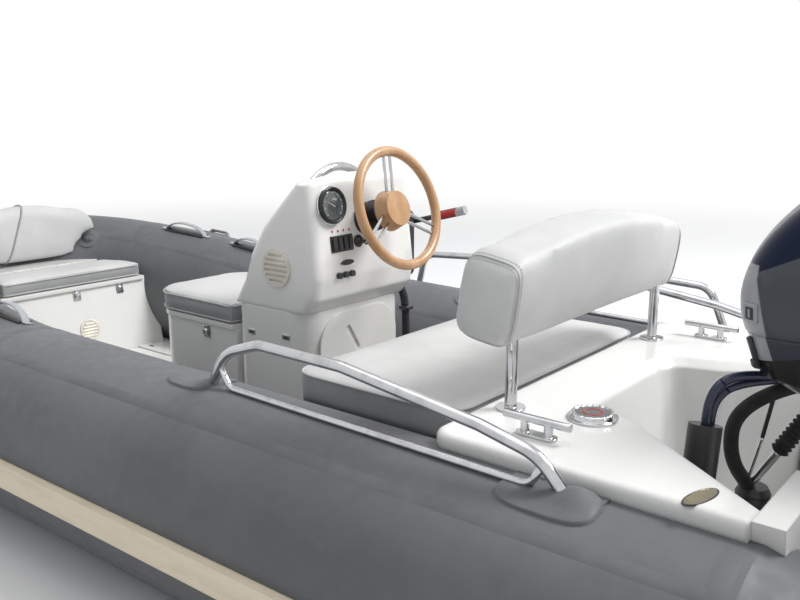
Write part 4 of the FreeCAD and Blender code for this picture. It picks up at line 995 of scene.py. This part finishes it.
def cowl_paint(name, lower=False):
    """Engine paint, laid out by place on the cowl."""
    g = Graph(name)
    x, z = g.axis("X"), g.axis("Z")
    fleck = g.spread(g.noise(1400.0), 0.5, 0.8, 0.0, 0.45)
    navy = g.mix(fleck, (0.004, 0.010, 0.034), (0.014, 0.028, 0.075))
    mid = g.mix(fleck, (0.034, 0.042, 0.056), (0.062, 0.074, 0.095))
    pale = g.mix(fleck, (0.33, 0.34, 0.355), (0.45, 0.46, 0.48))

    def falling(start, reach, slope):
        """Height over a line that rises going aft of a place, up to a reach."""
        back = g.maths("MAXIMUM", g.times(g.plus(x, -start), -1.0), 0.0)
        return g.maths("SUBTRACT", z, g.times(g.maths("MINIMUM", back, reach), slope))

    if lower:
        g.set(coat=0.35, specular=0.35)
        nose = g.spread(g.plus(x, g.times(g.plus(z, -0.75), -0.31)), *LOWER_NOSE_LINE)
        band = g.spread(falling(-1.53, 0.10, 0.25), *LOWER_BAND, 1.0, 0.0)
        g.color(g.mix(band, g.mix(nose, mid, pale), (0.014, 0.014, 0.016)))
    else:
        height = falling(-1.518, 0.15, 0.50)
        widen = g.times(g.maths("MAXIMUM", g.maths("SUBTRACT", 0.80, z), 0.0), 0.25)
        nose = g.times(g.spread(g.plus(x, widen), *NOSE_LINE), g.spread(z, *NOSE_TOP, 1.0, 0.0))
        g.color(g.mix(nose, g.mix(g.spread(height, *NAVY_LINE), mid, navy), pale))
        for socket in ("Coat Weight", "Specular IOR Level"):
            g.link(g.spread(height, *NAVY_LINE, 0.35, 0.10), g.shader.inputs[socket])
    g.rough(0.16, 0.24, 30.0, 4.0)
    g.set(coat_rough=0.05)
    g.soften(0.010 if lower else 0.028)
    return g.material


def lever_paint():
    """Black lever whose grip has red sides and a grey tip."""
    g = Graph("lever_paint")
    x, z = g.axis("X"), g.axis("Z")
    grip = g.spread(x, -0.4250, -0.4235, 1.0, 0.0)
    tip = g.spread(x, -0.4905, -0.4890, 1.0, 0.0)
    middle = g.plus(g.times(g.plus(x, 0.315), -0.2526), 0.767)
    ridge = g.spread(g.maths("ABSOLUTE", g.maths("SUBTRACT", z, middle)), 0.0105, 0.0115)
    red = g.mix(g.spread(g.noise(40.0, 3.0), 0.3, 0.7), (0.50, 0.020, 0.022), (0.40, 0.014, 0.018))
    side = g.mix(ridge, red, (0.03, 0.025, 0.027))
    g.color(g.mix(tip, g.mix(grip, (0.02, 0.02, 0.022), side), (0.42, 0.43, 0.45)))
    g.rough(0.32, 0.45, 35.0, 3.0)
    g.soften(0.003)
    return g.material


NODES["cowl_upper"].data.materials[0] = cowl_paint("cowl_upper_paint")
NODES["cowl_lower"].data.materials[0] = cowl_paint("cowl_lower_paint", True)
NODES["throttle_lever"].data.materials[0] = lever_paint()

# Cowl latch windows and rubber clips
cowl_skin, lower_skin = skin_of(NODES["cowl_upper"], NODES["cowl_lower"]), skin_of(NODES["cowl_lower"])
LATCH_X, LATCH_Y, LATCH_Z = -1.514, 0.1663, 0.733
CLIP_X, CLIP_Y, CLIP_Z = -1.522, 0.135, 0.650
for side, word in SIDES:
    spot, normal, _, _ = cowl_skin.find_nearest(Vector((LATCH_X, side * LATCH_Y, LATCH_Z)))
    for part, lift, size, look, bevel in (("frame", 0.001, (0.034, 0.038, 0.007), "engine_light", 0.003),
                                          ("well", 0.0035, (0.021, 0.026, 0.004), "black_plastic", 0.002),
                                          ("tab", 0.005, (0.006, 0.018, 0.004), "engine_light", 0.0018)):
        block(f"cowl_latch_{part}_{word}", spot + normal * lift, size, look, bevel, facing(normal), "engine")
    spot, normal, _, _ = lower_skin.find_nearest(Vector((CLIP_X, side * CLIP_Y, CLIP_Z)))
    turn = facing(normal)
    block(f"cowl_clip_{word}", spot + normal * 0.004, (0.014, 0.070, 0.010), "black_plastic", 0.0035, turn,
          "engine")
    block(f"cowl_clip_pull_{word}", spot + normal * 0.009 - turn @ Vector((0, 0.022, 0)),
          (0.018, 0.018, 0.009), "black_plastic", 0.003, turn, "engine")

# Rigging hoses, split into the pieces before and beyond the tilt axis. Each row gives
# a name, a radius, a look, the share of its length that lies before the tilt axis, and its places
SLEEVE_TOP = Vector((-1.448, 0.178, 0.508))
ENGINE_FRONT = Vector((-1.552, 0.0, 0.566))
BOOT_TOP = Vector((-1.502, -0.006, 0.308))
HOSES = (
    ("hose_upper", 0.0095, "navy_hose", 0.60, (SLEEVE_TOP, -0.004, 0.012, -0.03),
     (SLEEVE_TOP, -0.004, 0.012, 0.02), (SLEEVE_TOP, -0.006, 0.0, 0.066), (SLEEVE_TOP, -0.038, -0.038, 0.092),
     (ENGINE_FRONT, 0.012, 0.078, 0.022)),
    ("hose_lower", 0.0095, "navy_hose", 0.60, (SLEEVE_TOP, -0.004, -0.014, -0.03),
     (SLEEVE_TOP, -0.004, -0.014, 0.01), (SLEEVE_TOP, -0.008, -0.030, 0.044),
     (SLEEVE_TOP, -0.038, -0.064, 0.066), (ENGINE_FRONT, 0.0, 0.054, 0.012)),
    ("conduit", 0.0155, "sleeve_cloth", 0.60, (BOOT_TOP, 0.006, 0.002, -0.03),
     (BOOT_TOP, 0.008, 0.010, 0.005), (BOOT_TOP, 0.022, 0.052, 0.040), (BOOT_TOP, 0.038, 0.092, 0.120),
     (BOOT_TOP, 0.024, 0.082, 0.214), (ENGINE_FRONT, -0.03, 0.030, 0.0)),
    ("steering_link", 0.0035, "chrome", 1.0, (BOOT_TOP, 0.015, 0.016, -0.013),
     (BOOT_TOP, -0.015, 0.024, 0.124)),
    ("shift_rod", 0.0045, "black_plastic", 0.0, (BOOT_TOP, -0.015, 0.024, 0.124),
     (ENGINE_FRONT, 0.012, 0.03, -0.01)),
    ("ram_rod", 0.0095, "chrome", 1.0, (BOOT_TOP, 0.015, 0.004, -0.013), (BOOT_TOP, -0.045, 0.004, 0.093)),
    ("ram_bellows", 0.0200, "sleeve_cloth", 0.0, (BOOT_TOP, -0.045, 0.004, 0.093),
     (BOOT_TOP, -0.106, 0.004, 0.200)),
    ("pale_line", 0.0035, "pale_line", 0.60, (SLEEVE_TOP, 0.008, -0.008, -0.03),
     (SLEEVE_TOP, 0.008, -0.008, 0.03), (SLEEVE_TOP, 0.0, -0.024, 0.078), (SLEEVE_TOP, -0.034, -0.054, 0.094),
     (ENGINE_FRONT, 0.01, 0.064, 0.018)),
)
for name, size, look, share, *places in HOSES:
    points = [at + Vector(step) for at, *step in places]
    bends = len(points) > 2
    line = route(points, 4) if bends else [points[0].lerp(points[1], k / 20) for k in range(21)]
    if name == "ram_bellows":
        line, size = ribbed(line, 0.011, size, 0.0065)
    cut = min(int(len(line) * share), len(line) - 1)
    pieces = []
    if cut > 0:
        first = sweep(f"{name}_inboard", line[:cut + 1], size, look, 16, None)
        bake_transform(first)
        pieces.append(first)
    if cut < len(line) - 1:
        second = sweep(f"{name}_outboard", line[cut:], size, look, 16, None)
        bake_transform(second)
        pieces.append(second)
    if bends:
        for piece in pieces:
            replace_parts(piece, "rigging_hoses")


# Studio: floor on the waterline, a plain white surround, and soft lamps
def seen_rays(tree):
    """1 for a ray from the camera, off a gloss or through glass, and 0 for one that only carries light."""
    path = tree.nodes.new("ShaderNodeLightPath")
    value = path.outputs["Is Camera Ray"]
    for kind in ("Is Glossy Ray", "Is Transmission Ray"):
        either = tree.nodes.new("ShaderNodeMath")
        either.operation = "MAXIMUM"
        tree.links.new(value, either.inputs[0])
        tree.links.new(path.outputs[kind], either.inputs[1])
        value = either.outputs["Value"]
    return value


FLOOR_HALF, FADE_FROM, FADE_TO = 40, 2.6, 9.0
floor_mesh = bpy.data.meshes.new("floor")
floor_mesh.from_pydata([(x * FLOOR_HALF, y * FLOOR_HALF, 0) for x, y in ((-1, -1), (1, -1), (1, 1), (-1, 1))],
                       [], [(0, 1, 2, 3)])
floor = bpy.data.objects.new("floor", floor_mesh)
scene.collection.objects.link(floor)
g = Graph("floor_paint")
g.mottled((0.80, 0.80, 0.80), (0.82, 0.82, 0.82), 0.3, 0.7, 0.7, 3.0)
g.set(rough=0.9, specular=0.1)
reach = g.add("ShaderNodeVectorMath", operation="LENGTH")
g.link(g.place, reach.inputs[0])
fade = g.spread(reach.outputs["Value"], FADE_FROM, FADE_TO)
glow = g.add("ShaderNodeEmission", Color=(1, 1, 1, 1), Strength=1.0)
blend = g.add("ShaderNodeMixShader")
g.link(g.times(fade, seen_rays(g.tree)), blend.inputs["Fac"])
g.link(g.shader.outputs["BSDF"], blend.inputs[1])
g.link(glow.outputs["Emission"], blend.inputs[2])
g.link(blend.outputs["Shader"], g.tree.nodes["Material Output"].inputs["Surface"])
floor_mesh.materials.append(g.material)

world = bpy.data.worlds.new("studio")
world.use_nodes = True
scene.world = world
tree = world.node_tree
fill, white = tree.nodes["Background"], tree.nodes.new("ShaderNodeBackground")
for node, color, strength in ((fill, (0.95, 0.97, 1.0, 1.0), 0.50), (white, (1.0, 1.0, 1.0, 1.0), 1.0)):
    node.inputs["Color"].default_value = color
    node.inputs["Strength"].default_value = strength
pick = tree.nodes.new("ShaderNodeMixShader")
tree.links.new(seen_rays(tree), pick.inputs["Fac"])
tree.links.new(fill.outputs["Background"], pick.inputs[1])
tree.links.new(white.outputs["Background"], pick.inputs[2])
tree.links.new(pick.outputs["Shader"], tree.nodes["World Output"].inputs["Surface"])


def lamp(name, at, target, size, power):
    data = bpy.data.lights.new(name, "AREA")
    data.shape = "RECTANGLE"
    data.size, data.size_y = size
    data.energy = power
    obj = bpy.data.objects.new(name, data)
    obj.location = at
    obj.rotation_euler = (Vector(target) - Vector(at)).to_track_quat("-Z", "Y").to_euler()
    scene.collection.objects.link(obj)


lamp("key", (-4.2, -3.4, 6.0), (0, 0, 0.3), (2.6, 2.6), 560)
lamp("top", (0.5, 0.5, 7.0), (0, 0, 0), (7, 5), 130)
